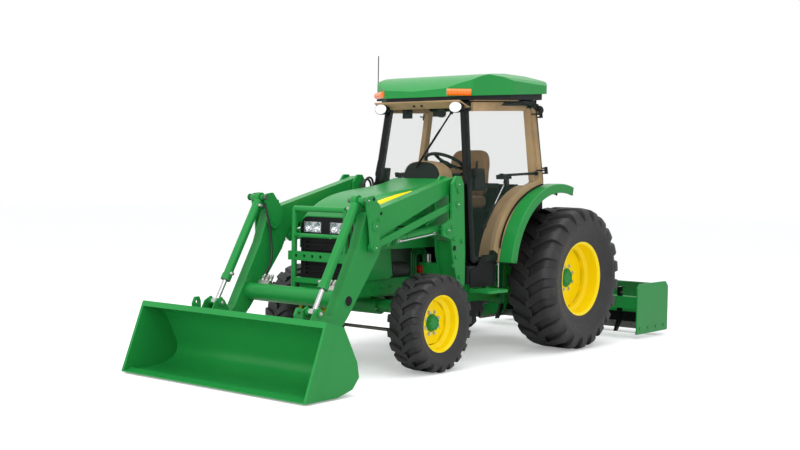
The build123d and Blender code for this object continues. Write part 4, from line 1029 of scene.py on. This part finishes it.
well = Form("wheel_well_linings_and_shade")
for hand in (1, -1):
    turns = [math.radians(14 + 92 * k / 46) for k in range(47)]
    wall = [on_arch(733, turn) for turn in turns]
    low_y, high_y = (446, 449) if hand > 0 else (-449, -446)
    well.plate([*wall, (20, 960), (560, 960)], low_y, high_y, black_plastic)
    verts = []
    for turn in turns:
        for reach in (735.5, 731.5):
            x, z = on_arch(reach, turn)
            verts.extend(at(x, y * hand, z) for y in (450, 762))
    faces = [(0, 1, 3, 2), tuple(len(verts) - 4 + i for i in (0, 2, 3, 1))]
    for k in range(len(turns) - 1):
        a = 4 * k
        for i, j in ((0, 1), (1, 3), (3, 2), (2, 0)):
            faces.append((a + i, a + j, a + 4 + j, a + 4 + i))
    well.add(verts, faces, black_plastic)
    # A skirt that hangs inside the fender, clear of the tyre, its black partly painted shade
    turns = [math.radians(34 + 72 * k / 36) for k in range(37)]
    skirt = [on_arch(733, turn) for turn in turns]
    skirt += [on_arch(668, turn) for turn in reversed(turns)]
    low_y, high_y = (610, 614) if hand > 0 else (-614, -610)
    well.plate(skirt, low_y, high_y, black_plastic)
    low_y, high_y = (602, 607) if hand > 0 else (-607, -602)
    shield = [(978, 862), (1165, 862), (1232, 776), (1326, 742), (1326, 604), (978, 604)]
    well.plate(shield, low_y, high_y, black_plastic)
well.done("chassis", 0.001, 1)

# Doors: inside handle, rail, dark border and gas strut


def door_point(x, z, inwards, hand):
    """A point in millimetres on the door's plane, moved towards the cab's middle."""
    y = 687 - 0.22 * (x - 395) - 0.135 * (z - 1485) - inwards
    return at(x, y * hand, z)


for way, hand in (("left", 1), ("right", -1)):
    grip = Form(f"door_grip_{way}")
    slope = Matrix.Rotation(0.22 * -hand, 3, "Z") @ Matrix.Rotation(0.13 * hand, 3, "X")
    for x, z, inwards, size, material in (
        (1092, 1474, 34, (0.058, 0.02, 0.09), black_plastic),
        (1092, 1486, 58, (0.03, 0.012, 0.05), grey_plastic),
        (1060, 1450, 74, (0.05, 0.007, 0.012), black_plastic),
        (800, 1500, 42, (0.065, 0.026, 0.018), black_plastic),
        (795, 1458, 24, (0.02, 0.012, 0.036), black_plastic),
    ):
        middle, size = door_point(x, z, inwards, hand), Vector(size)
        grip.box(middle - size, middle + size, material, slope)
    rail_points = ((846, 1512, 30), (700, 1520, 34), (452, 1536, 28))
    rail = [door_point(x, z, inwards, hand) for x, z, inwards in rail_points]
    for start, end in zip(rail, rail[1:]):
        grip.rod(start, end, 0.011, black_plastic, 18, 0.002)
    for x, z in ((846, 1512), (452, 1536)):
        grip.rod(door_point(x, z, 40, hand), door_point(x, z, 4, hand), 0.016, black_plastic, 18, 0.003)
    grip.done(f"door_{way}", 0.006, 3)

    # Dark border printed on the glass along the wheel arch and the rear edge
    border = Form(f"door_border_{way}")
    inner_line, outer_line = [], []
    for k in range(41):
        turn = math.radians(16 + 61 * k / 40)
        for line, reach in ((inner_line, 771), (outer_line, 757)):
            line.append(on_arch(reach, turn))
    inner_line.append((410, 2136))
    outer_line.append((397, 2150))
    verts = []
    for (ax, az), (bx, bz) in zip(inner_line, outer_line):
        for inwards in (-1.2, 0.4):
            verts.extend((door_point(ax, az, inwards, hand), door_point(bx, bz, inwards, hand)))
    faces = []
    for k in range(len(inner_line) - 1):
        a = 4 * k
        for i, j in ((0, 1), (1, 3), (3, 2), (2, 0)):
            faces.append((a + i, a + j, a + 4 + j, a + 4 + i))
    border.add(verts, faces, black_plastic)
    border.done(f"door_{way}")

    strut_top = door_point(790, 1455, 44, hand)
    strut_low = at(985, 496 * hand, 1088)
    strut = Form(f"door_strut_{way}")
    steps = 16
    for start, end, radius, material in (
        (strut_top, strut_top.lerp(strut_low, 0.52), 0.0055, steel),
        (strut_top.lerp(strut_low, 0.5), strut_low, 0.0105, black),
    ):
        for k in range(steps):
            strut.rod(start.lerp(end, k / steps), start.lerp(end, (k + 1) / steps), radius, material, 14)
    strut.lathe(strut_low, (0, 1, 0), [(-0.012, 0.012), (0, 0.016), (0.012, 0.012)], black, 18)
    strut.lathe(strut_top, (0, 1, 0), [(-0.012, 0.01), (0, 0.014), (0.012, 0.01)], black, 18)
    piece = strut.loose()
    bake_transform(piece)

# Lamps: headlights with bowls under their lenses, work lamps with domed lenses

lights = Form("headlight_units")
for hand in (1, -1):
    y_low, y_high = (47, 223) if hand > 0 else (-223, -47)
    lights.box(at(2359, y_low, 1047), at(2363, y_high, 1128), lamp_clear)
    for z_low, z_high in ((1047, 1050), (1125, 1128)):
        lights.box(at(2363, y_low, z_low), at(2385, y_high, z_high), reflector)
    for y in (87, 178):
        bowl = [(0.002, 0.008), (0.006, 0.02), (0.014, 0.031), (0.023, 0.036), (0.023, 0.038), (0.0, 0.036)]
        lights.lathe(at(2362, y * hand, 1087), (1, 0, 0), bowl, reflector, 36, closed=True)
        bulb = [(0.004, 0.006), (0.012, 0.008), (0.018, 0.006), (0.02, 0.002)]
        lights.lathe(at(2362, y * hand, 1087), (1, 0, 0), bulb, lamp_clear, 20)
    lights.box(at(2363, 130 * hand, 1050), at(2372, 134 * hand, 1125), reflector)
    lights.box(at(2387, y_low, 1047), at(2390, y_high, 1128), lens_cover)
piece = lights.done("chassis", 0.0015, 2)
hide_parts("headlights")

heads = Form("work_lamp_heads")
for x, y, z, way in ((1225, 395, 2060, 1), (300, 530, 2086, -1)):
    for hand in (1, -1):
        wide = 1.42 if way > 0 else 1.12
        tall = 0.046 if way > 0 else 0.042
        shell = [(-0.006, 0.5), (0.004, 0.82), (0.022, 0.97), (0.046, 1.0), (0.058, 1.02), (0.062, 0.98)]
        dome = [(0.059, 0.97), (0.068, 0.86), (0.074, 0.62), (0.077, 0.32), (0.078, 0.02)]
        for profile, material in ((shell, black_plastic), (dome, lamp_clear if way > 0 else black_plastic)):
            verts = []
            turns = 40
            for k in range(turns):
                turn = 2 * math.pi * k / turns
                for along, out in profile:
                    across, rise = math.cos(turn) * out * tall * wide, math.sin(turn) * out * tall
                    verts.append(at(x, y * hand, z) + Vector((way * along, across, rise)))
            size = len(profile)
            faces = turned(turns, size, size - 1)
            faces.append([k * size for k in range(turns)])
            faces.append([k * size + size - 1 for k in reversed(range(turns))])
            heads.add(verts, faces, material)
        stalk = at(x, y * hand, z)
        heads.rod(stalk, at(x, y * hand, under_roof(x + 9) - 1), 0.009, black_plastic, 18)
        heads.box(at(x - 14, y * hand - 24, z + 30), at(x + 14, y * hand + 24, z + 52), black_plastic)
piece = heads.done("chassis", 0.0015, 2)
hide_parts("work_lamps")

# Hood: stripe, vents and seams laid on its own surface

hood_tree = BVHTree.FromObject(nodes["hood"], bpy.context.evaluated_depsgraph_get())
hood_place = nodes["hood"].matrix_world.inverted()


def on_hood(x, z, hand, proud):
    """The point of the hood's side at (x, z), in millimetres, set proud by so many millimetres."""
    start = hood_place @ at(x, 600 * hand, z)
    spot, normal, _, _ = hood_tree.ray_cast(start, Vector((0, -hand, 0)))
    if spot is None:
        spot, normal, _, _ = hood_tree.find_nearest(start)
    if normal.y * hand < 0:
        normal = -normal
    return nodes["hood"].matrix_world @ (spot + normal * proud / 1000)


def hood_strip(form, low_line, high_line, hand, proud, material, steps=40, rows=4):
    """A thin strip between two (x, z) lines, wrapped on the hood's side."""

    def along(line, share):
        place = share * (len(line) - 1)
        i = min(int(place), len(line) - 2)
        t = place - i
        return tuple(a + (b - a) * t for a, b in zip(line[i], line[i + 1]))

    verts = []
    for k in range(steps + 1):
        low, high = along(low_line, k / steps), along(high_line, k / steps)
        for r in range(rows + 1):
            x, z = (a + (b - a) * r / rows for a, b in zip(low, high))
            verts.append(on_hood(x, z, hand, proud))
    form.add(verts, grid(steps + 1, rows + 1), material)


# The stripe, the slot under it, and the seam between the hood's top and its side panel
HOOD_STRIPS = (
    (
        [(2214, 1230), (2050, 1272), (1880, 1314), (1690, 1364)],
        [(2180, 1276), (2040, 1314), (1880, 1348), (1690, 1376)],
        0.8,
        yellow,
    ),
    (
        [(2216, 1206), (2090, 1232), (1960, 1258)],
        [(2206, 1222), (2090, 1247), (1960, 1270)],
        0.6,
        black_plastic,
    ),
    (
        [(2300, 1128), (2000, 1150), (1700, 1172), (1300, 1196)],
        [(2300, 1131), (2000, 1153), (1700, 1175), (1300, 1199)],
        0.4,
        black_plastic,
        60,
        1,
    ),
)
trim = Form("hood_trim")
for hand in (1, -1):
    for low_line, high_line, *look in HOOD_STRIPS:
        hood_strip(trim, low_line, high_line, hand, *look)
    for row in range(5):
        low = 985 + row * 26
        low_line, high_line = [(1990, low), (1760, low + 4)], [(1984, low + 12), (1766, low + 16)]
        hood_strip(trim, low_line, high_line, hand, 0.6, black_plastic, 12, 1)
piece = trim.done("chassis")
thick = piece.modifiers.new("thickness", "SOLIDIFY")
thick.thickness = 0.0012

# Loader: pin heads, bolts, hydraulic lines and hoses

BOOM_PIVOT, KNEE = (1505, 1432), (2500, 1122)
LIFT_BASE, LIFT_EYE = (1627, 1073), (2290, 1000)
TILT_TOP, BUCKET_ROD_PIN = (2600, 1308), (3040, 524)
LINK_DROP = 157


def pin_head(form, x, z, y, hand, radius, keeper):
    """A pin's flat head with its grease fitting, and the bolt that keeps the pin from turning."""
    face = at(x, y * hand, z)
    axis = Vector((0, hand, 0))
    r = radius / 1000
    form.lathe(face, axis, [(-0.001, r), (0.006, r), (0.008, r - 0.003), (0.008, 0.007)], green, 36)
    form.lathe(face, axis, [(0.006, 0.006), (0.012, 0.006), (0.016, 0.003), (0.02, 0.004)], zinc, 14)
    if keeper:
        dx, dz = keeper
        far = at(x + dx, y * hand, z + dz)
        run = far - face
        across = run.cross(axis).normalized() * 0.013
        corners = [face + across, face - across, far - across * 0.8, far + across * 0.8]
        lifted = [c + axis * 0.007 for c in corners]
        sides = [(i, (i + 1) % 4, 4 + (i + 1) % 4, 4 + i) for i in range(4)]
        form.add(corners + lifted, [(3, 2, 1, 0), (4, 5, 6, 7), *sides], green)
        form.hexagon(far + axis * 0.006, axis, 0.017, 0.01, green)


MAST_FACE, CRANK_FACE, BOOM_FACE = 601, 597, 545
masts = Form("mast_fittings")
cranks = Form("crank_fittings")
booms = Form("boom_fittings")
for hand in (1, -1):
    pin_head(masts, *BOOM_PIVOT, MAST_FACE, hand, 36, (0, -58))
    pin_head(masts, BOOM_PIVOT[0], BOOM_PIVOT[1] - LINK_DROP, MAST_FACE, hand, 26, None)
    pin_head(masts, *LIFT_BASE, MAST_FACE, hand, 28, (-42, 22))
    for x, z in ((1548, 1004), (1446, 984), (1560, 790), (1470, 700), (1520, 860)):
        masts.hexagon(at(x, MAST_FACE * hand, z), (0, hand, 0), 0.024, 0.014, green)
    plug = [(0.0005, 0.022), (0.002, 0.022)]
    masts.lathe(at(1540, MAST_FACE * hand, 930), (0, hand, 0), plug, black_plastic, 28)
    pin_head(cranks, *KNEE, CRANK_FACE, hand, 34, (-40, 44))
    pin_head(cranks, KNEE[0], KNEE[1] - LINK_DROP, CRANK_FACE, hand, 25, None)
    pin_head(cranks, *TILT_TOP, CRANK_FACE + 8, hand, 27, None)
    for dx, dz in ((24, 196), (-62, 92)):
        cranks.lathe(
            at(KNEE[0] + dx, CRANK_FACE * hand, KNEE[1] + dz),
            (0, hand, 0),
            [(0.0005, 0.013), (0.002, 0.013)],
            black_plastic,
            24,
        )
    # The torque tube's open end, seen in the boom's side
    mouth = at(2725, BOOM_FACE * hand, 590)
    booms.lathe(mouth, (0, hand, 0), [(0.0005, 0.036), (0.0015, 0.036)], black_plastic, 40)
    lip = [(-0.001, 0.036), (0.004, 0.037), (0.005, 0.041), (-0.001, 0.046)]
    booms.lathe(mouth, (0, hand, 0), lip, green, 40, closed=True)
    # Manifold with its couplers on the torque tube
    for k in range(3):
        foot = at(2674, (388 - 42 * k) * hand, 666)
        way = Vector((-0.55, 0, 0.83))
        coupler = [(0, 0.016), (0.02, 0.016), (0.024, 0.012), (0.06, 0.012), (0.064, 0.009)]
        booms.lathe(foot, way, coupler, zinc, 20)
        booms.lathe(foot + way * 0.024, way, [(0, 0.0155), (0.022, 0.0155)], zinc, 6)
    across = Vector((0.022, 0.061, 0.017))
    block = at(2682, 346 * hand, 655)
    booms.box(block - across, block + across, zinc, Matrix.Rotation(math.radians(-33.5), 3, "Y"))
for form, body in ((masts, "chassis"), (cranks, "bellcranks"), (booms, "boom")):
    form.done(body, 0.0012, 2)

bucket_marks = Form("bucket_fittings")
for hand in (1, -1):
    for y in (500 + 45 + 6 + 12, 500 - 45 - 6 - 12):
        face = at(BUCKET_ROD_PIN[0], y * hand, BUCKET_ROD_PIN[1])
        way = Vector((0, hand if y > 500 else -hand, 0))
        head = [(-0.001, 0.03), (0.006, 0.03), (0.008, 0.027), (0.008, 0.005)]
        bucket_marks.lathe(face, way, head, green, 32)
        bucket_marks.hexagon(face + way * 0.007, way, 0.02, 0.01, zinc)
# Folded top lip, side edge straps and the cutting edge
bucket_marks.plate([(3377, 527), (3336, 517), (3342, 479), (3390, 487)], -931, 931, green)
bucket_marks.plate([(3573, 13), (3502, 36), (3488, 36), (3488, 21)], -930, 930, green)
for hand in (1, -1):
    low_y, high_y = (931, 939) if hand > 0 else (-939, -931)
    bucket_marks.plate([(3377, 523), (3572, 13), (3476, 13), (3300, 474), (3318, 506)], low_y, high_y, green)
bucket_marks.done("bucket", 0.002, 2)



def smooth_line(name, points, resolution):
    """Points along a smooth curve through control points in millimetres."""
    curve = bpy.data.curves.new(name, "CURVE")
    curve.dimensions = "3D"
    curve.resolution_u = resolution
    spline = curve.splines.new("NURBS")
    spline.points.add(len(points) - 1)
    for point, place in zip(spline.points, points):
        point.co = (*at(*place), 1)
    spline.order_u = 3
    spline.use_endpoint_u = True
    guide = bpy.data.objects.new(name, curve)
    bpy.context.scene.collection.objects.link(guide)
    bpy.context.view_layer.update()
    line_mesh = bpy.data.meshes.new_from_object(guide.evaluated_get(bpy.context.evaluated_depsgraph_get()))
    line = [v.co.copy() for v in line_mesh.vertices]
    bpy.data.meshes.remove(line_mesh)
    bpy.data.objects.remove(guide)
    return line


# The bucket's rolled inside, a smooth sheet against its back and floor
roll = [(3488, 23), (3257, 23), (3112, 62), (3052, 130), (3074, 226), (3208, 468), (3340, 503)]
line = smooth_line("bucket_roll", [(x, 0, z) for x, z in roll], 16)
inside = Form("bucket_inside_sheet")
verts = [spot + Vector((0, y, 0)) for spot in line for y in (-0.9155, 0.9155)]
faces = [(2 * k, 2 * k + 1, 2 * k + 3, 2 * k + 2) for k in range(len(line) - 1)]
inside.add(verts, faces, green)
piece = inside.done("bucket", sharp=60)
thick = piece.modifiers.new("thickness", "SOLIDIFY")
thick.thickness = 0.002

# Ports and the bright line along each lift cylinder, gland nuts on every cylinder


def heading(start, end):
    """The direction from one (x, z) pivot to another."""
    return Vector((end[0] - start[0], 0, end[1] - start[1])).normalized()


lift_way = heading(LIFT_BASE, LIFT_EYE)
tilt_way = heading(TILT_TOP, BUCKET_ROD_PIN)
lift_line = Form("lift_cylinder_lines")
tilt_line = Form("tilt_cylinder_ports")
for hand in (1, -1):
    base = at(LIFT_BASE[0], 500 * hand, LIFT_BASE[1])
    down = Vector((0, 0, -1))
    out = Vector((0, hand, 0))

    def beside(share, lift=0.0, drop=0.0):
        return base + lift_way * share + out * (0.044 + lift) + down * drop

    route = [beside(0.09, -0.012, 0.012), beside(0.1, 0.004, 0.014), beside(0.2, 0.004, 0.016)]
    route += [beside(0.5, 0.004, 0.016), beside(0.53, -0.014, 0.014)]
    for start, end in zip(route, route[1:]):
        lift_line.rod(start, end, 0.0065, steel, 16, 0.0008)
    for share in (0.09, 0.53):
        port = base + lift_way * share + out * 0.03 + down * 0.013
        lift_line.lathe(port, out, [(0, 0.014), (0.012, 0.014), (0.014, 0.01), (0.024, 0.01)], zinc, 18)
    for share in (0.18, 0.42):
        clip = base + lift_way * share
        band = [(-0.009, 0.0385), (-0.009, 0.041), (0.009, 0.041), (0.009, 0.0385)]
        lift_line.lathe(clip, lift_way, band, green, 36, True)
    gland = base + lift_way * 0.545
    nut = [(0, 0.0385), (0, 0.042), (0.016, 0.042), (0.018, 0.0395), (0.018, 0.0205)]
    lift_line.lathe(gland, lift_way, nut, black, 36)

    top = at(TILT_TOP[0], 500 * hand, TILT_TOP[1])
    inwards = Vector((0, -hand, 0))
    for share, way in ((0.07, inwards), (0.66, inwards)):
        port = top + tilt_way * share + way * 0.03
        tilt_line.lathe(port, way, [(0, 0.015), (0.012, 0.015), (0.015, 0.011), (0.03, 0.011)], zinc, 18)
        tilt_line.lathe(port + way * 0.016, way, [(0, 0.0135), (0.012, 0.0135)], zinc, 6)
    gland = top + tilt_way * 0.697
    nut = [(0, 0.0345), (0, 0.038), (0.016, 0.038), (0.018, 0.036), (0.018, 0.0185)]
    tilt_line.lathe(gland, tilt_way, nut, black, 36)
lift_line.done("lift_barrels", 0.0008, 1)
tilt_line.done("tilt_barrels", 0.0008, 1)


HOSE_RADIUS = 0.0095


def hose(name, points, radius, material, hold):
    """A rubber hose along a smooth line through control points in millimetres."""
    line = smooth_line(name + "_line", points, 24)
    sides = 14
    turns = [2 * math.pi * s / sides for s in range(sides)]
    rings = []
    lead = (line[1] - line[0]).normalized().orthogonal().normalized()
    for k, spot in enumerate(line):
        way = (line[min(k + 1, len(line) - 1)] - line[max(k - 1, 0)]).normalized()
        lead = (lead - way * lead.dot(way)).normalized()
        cross = way.cross(lead)
        rings.append([spot + (lead * math.cos(turn) + cross * math.sin(turn)) * radius for turn in turns])
    verts = [v for ring in rings for v in ring]
    faces = []
    for k in range(len(rings) - 1):
        for s in range(sides):
            t = (s + 1) % sides
            faces.append((k * sides + s, k * sides + t, (k + 1) * sides + t, (k + 1) * sides + s))
    faces.append(list(range(sides)))
    faces.append([len(verts) - 1 - s for s in range(sides)])
    form = Form(name)
    form.add(verts, faces, material)
    piece = form.loose(50)
    hold(piece)
    return piece


for way, hand in (("left", 1), ("right", -1)):
    inner = 428
    hose(
        f"tilt_hose_{way}",
        [
            (2674, 388 * hand, 666),
            (2640, 388 * hand, 722),
            (2590, (inner - 34) * hand, 778),
            (2550, (inner - 20) * hand, 840),
            (2540, inner * hand, 980),
            (2560, inner * hand, 1100),
            (2590, (inner + 6) * hand, 1200),
            (2606, (inner + 10) * hand, 1262),
        ],
        HOSE_RADIUS,
        hose_rubber,
        lambda piece, hand=hand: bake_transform(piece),
    )

# Hoses that loop from the frame to the back of each boom arm
for way, hand in (("left", 1), ("right", -1)):
    for k, (shift, rise) in enumerate(((0, 0), (-20, 16))):
        hose(
            f"mast_hose_{way}_{k}",
            [
                (1440 + shift, (392 + shift * 0.4) * hand, 1010),
                (1420 + shift, (392 + shift * 0.4) * hand, 1130),
                (1392 + shift, (396 + shift * 0.4) * hand, 1300),
                (1388 + shift, (400 + shift * 0.4) * hand, 1420 + rise),
                (1430 + shift, (402 + shift * 0.4) * hand, 1470 + rise),
                (1500 + shift, (404 + shift * 0.4) * hand, 1440 + rise),
                (1532 + shift, (404 + shift * 0.4) * hand, 1350),
            ],
            HOSE_RADIUS,
            hose_rubber,
            lambda piece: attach(piece, "chassis"),
        )

# Engine bay: pipes, a filter, bolted studs, a long drum and a red cap

bay = Form("engine_bay_fittings")
for hand in (1, -1):
    side_y = 262 * hand
    bay.rod(at(1538, 236 * hand, 742), at(1538, 288 * hand, 742), 0.034, red_paint, 30, 0.004)
    bay.rod(at(1438, side_y, 770), at(1438, side_y, 868), 0.028, zinc, 30, 0.005)
    bay.rod(at(1438, side_y, 868), at(1438, side_y, 886), 0.034, black_plastic, 30, 0.004)
    # The pipes take the green paint darkened as painted shade
    for x, top, far in ((1634, 894, 1480), (1662, 912, 1466), (1606, 876, 1494)):
        route = [(x, 660), (x + 4, top - 24), (x - 18, top), (far + 40, top + 2)]
        route += [(far + 14, top - 26), (far + 8, 760)]
        for (ax, az), (bx, bz) in zip(route, route[1:]):
            bay.rod(at(ax, 268 * hand, az), at(bx, 268 * hand, bz), 0.0075, painted_shade_green, 14, 0.001)
    for x in (1520, 1640, 1760, 1880):
        bay.rod(at(x, 198 * hand, 1002), at(x, 226 * hand, 1002), 0.019, engine_black, 20, 0.003)
        bay.hexagon(at(x, 226 * hand, 1002), (0, hand, 0), 0.02, 0.012, zinc)
    bay.box(at(1500, 206 * hand - 12, 940), at(1940, 206 * hand + 12, 968), engine_black)
    bay.rod(at(1700, 232 * hand, 760), at(1900, 232 * hand, 760), 0.052, engine_black, 36, 0.008)
    bay.rod(at(1900, 232 * hand, 760), at(1912, 232 * hand, 760), 0.03, zinc, 24, 0.003)
    for x in (1480, 1580, 1900, 2000, 2120, 2240):
        bay.hexagon(at(x, 245 * hand, 628), (0, hand, 0), 0.022, 0.013, green)
bay.done("chassis", 0.001, 1)

# Steps: raised grip on the treads, and the pale strap behind them

tread = Form("step_grips")
for hand in (1, -1):
    for row in range(9):
        for place in range(8):
            x = 1070 + 28 * row + (14 if place % 2 else 0)
            y = 588 + 26 * place
            if x > 1306:
                continue
            turn = Matrix.Rotation(math.radians(45 if (row + place) % 2 else -45), 3, "Z")
            middle = at(x, y * hand, 590.8)
            size = Vector((0.0085, 0.0025, 0.0012))
            tread.box(middle - size, middle + size, green, turn)
    tread.rod(at(966, 632 * hand, 590), at(970, 632 * hand, 782), 0.0055, zinc, 14)
    tread.hexagon(at(970, 626 * hand, 782), (0, hand, 0), 0.018, 0.012, zinc)
tread.done("chassis", 0.0008, 1)

# Wiper: an arm and a thicker blade over the windscreen's thin wiper bar

wiper_foot = at(1192, 285, 2022)
wiper_end = at(1253, -26, 1566)
wiper = Form("wiper_blade")
wiper.rod(wiper_foot, wiper_foot.lerp(wiper_end, 0.6), 0.007, black_plastic, 12)
wiper.rod(wiper_foot.lerp(wiper_end, 0.3), wiper_end, 0.0095, black_plastic, 12, 0.004)
wiper.done("chassis", 0.0008, 1)

# Box blade: cutting edges with their bolts, shanks with their pins, and wear shoes


def board_x(x, bulge, z):
    """Where a mouldboard's face lies at a height, from its foot, middle and top."""
    feet = ((46, x), (250, x + bulge), (500, x - bulge * 0.2))
    total = 0.0
    for i, (zi, xi) in enumerate(feet):
        share = 1.0
        for j, (zj, _) in enumerate(feet):
            if j != i:
                share *= (z - zj) / (zi - zj)
        total += xi * share
    return total


edges = Form("blade_edges")
for x, bulge in ((-1392, -60), (-1452, -40)):
    heights = [47 + 19 * k for k in range(9)]
    face = [(board_x(x, bulge, z) + 11, z) for z in heights]
    rear = [(board_x(x, bulge, z) - 18, z) for z in reversed(heights)]
    edges.plate(face + rear, -892, 892, black)
    edges.box(at(x - 26, -892, 47), at(x + 16, 892, 108), worn)
    for k in range(9):
        y = -800 + 200 * k
        edges.hexagon(at(x + 15, y, 84), (1, 0, 0), 0.026, 0.013, worn)
shank_line = [(-1042.5, 481.5), (-984.5, 481.5), (-984.5, 180), (-924, 66), (-963, 66), (-1042.5, 160)]
for place in range(-2, 3):
    y = place * 340
    edges.plate(shank_line, y - 13.5, y + 13.5, black)
    edges.rod(at(-1016, y - 26, 425), at(-1016, y + 26, 425), 0.009, zinc, 16, 0.001)
    edges.lathe(at(-1016, y + 22, 425), (0, 1, 0), [(0, 0.014), (0.004, 0.014)], zinc, 20)
for hand in (1, -1):
    edges.box(at(-1556, 894 * hand - 8, 47), at(-946, 894 * hand + 8, 72), worn)
    for k in range(4):
        edges.hexagon(at(-1480 + 160 * k, 902 * hand, 100), (0, hand, 0), 0.022, 0.01, green)
edges.done("blade", 0.002, 2)

# Front axle bolts

details = Form("axle_bolts")
for hand in (1, -1):
    for x in (1840, 1946):
        for y in (150, 300):
            details.hexagon(at(x, y * hand, 440), (0, 0, 1), 0.022, 0.013, zinc)
details.done("chassis", 0.001, 1)

# Camera, where the photograph was taken from

SENSOR = 36
FOCAL_PIXELS, PICTURE_WIDTH = 1190, 800
yaw, pitch, roll = (math.radians(a) for a in (219.117, -2.213, 0.965))
forward = Vector((math.cos(yaw) * math.cos(pitch), math.sin(yaw) * math.cos(pitch), math.sin(pitch)))
level = Vector((math.sin(yaw), -math.cos(yaw), 0))
upright = level.cross(forward)
right = level * math.cos(roll) + upright * math.sin(roll)
up = upright * math.cos(roll) - level * math.sin(roll)
camera = bpy.data.objects.new("camera", bpy.data.cameras.new("camera"))
bpy.context.scene.collection.objects.link(camera)
camera.data.sensor_width = SENSOR
camera.data.lens = SENSOR * FOCAL_PIXELS / PICTURE_WIDTH
camera.matrix_world = Matrix.Translation(at(9074.3, 6171.6, 1467.9)) @ Matrix(
    [
        (right.x, up.x, -forward.x, 0),
        (right.y, up.y, -forward.y, 0),
        (right.z, up.z, -forward.z, 0),
        (0, 0, 0, 1),
    ]
)
bpy.context.scene.camera = camera

# Studio: white surround, pale floor and soft lamps

bpy.context.scene.view_settings.view_transform = "Standard"
world = bpy.data.worlds.new("studio")
bpy.context.scene.world = world
world.use_nodes = True
tree = world.node_tree
background = tree.nodes["Background"]
seen = tree.nodes.new("ShaderNodeBackground")
background.inputs["Color"].default_value = (0.96, 0.98, 1, 1)
background.inputs["Strength"].default_value = 0.8
seen.inputs["Color"].default_value = (1, 1, 1, 1)
seen.inputs["Strength"].default_value = 1.0
path = tree.nodes.new("ShaderNodeLightPath")
most = tree.nodes.new("ShaderNodeMath")
most.operation = "MAXIMUM"
tree.links.new(path.outputs["Is Camera Ray"], most.inputs[0])
tree.links.new(path.outputs["Is Transmission Ray"], most.inputs[1])
some = tree.nodes.new("ShaderNodeMath")
some.operation = "MAXIMUM"
tree.links.new(most.outputs[0], some.inputs[0])
tree.links.new(path.outputs["Is Glossy Ray"], some.inputs[1])
blend = tree.nodes.new("ShaderNodeMixShader")
tree.links.new(some.outputs[0], blend.inputs["Fac"])
tree.links.new(background.outputs[0], blend.inputs[1])
tree.links.new(seen.outputs[0], blend.inputs[2])
tree.links.new(blend.outputs[0], tree.nodes["World Output"].inputs["Surface"])

floor_mesh = bpy.data.meshes.new("floor")
floor_mesh.from_pydata([(-40, -40, 0), (40, -40, 0), (40, 40, 0), (-40, 40, 0)], [], [(0, 1, 2, 3)])
floor = bpy.data.objects.new("floor", floor_mesh)
floor.location.z = -0.0005
bpy.context.scene.collection.objects.link(floor)
cover = Recipe("floor_cover")
cover.colour(cover.grey_ramp(cover.noise(1.5, 3), [(0.3, 0.86), (0.7, 0.88)]))
cover.constant(Roughness=0.9, Specular_IOR_Level=0.1)
lift = cover.tree.nodes.new("ShaderNodeLightPath")
cover.link(lift.outputs["Is Camera Ray"], cover.shader.inputs["Emission Strength"])
cover.shader.inputs["Emission Color"].default_value = (0.3, 0.3, 0.3, 1)
floor_mesh.materials.append(cover.material)
floor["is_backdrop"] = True


def lamp(name, place, aim, size, power):
    data = bpy.data.lights.new(name, "AREA")
    data.size = size
    data.energy = power
    item = bpy.data.objects.new(name, data)
    bpy.context.scene.collection.objects.link(item)
    item.location = place
    item.rotation_mode = "QUATERNION"
    item.rotation_quaternion = (Vector(aim) - Vector(place)).to_track_quat("-Z", "Y")


lamp("overhead", (0.3, 0.5, 6.0), (0, 0, 0), 6.0, 230)
lamp("key", (5.5, 6.0, 5.0), (0, 0, 0.8), 3.5, 100)
lamp("front", (8.5, 0.5, 3.2), (1.5, 0, 0.5), 3.0, 220)

# The size that shows, beside the CAD model's size

seen_low, seen_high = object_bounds()
sizes = {"cad": [list(cad_low), list(cad_high)], "visual": [list(seen_low), list(seen_high)]}
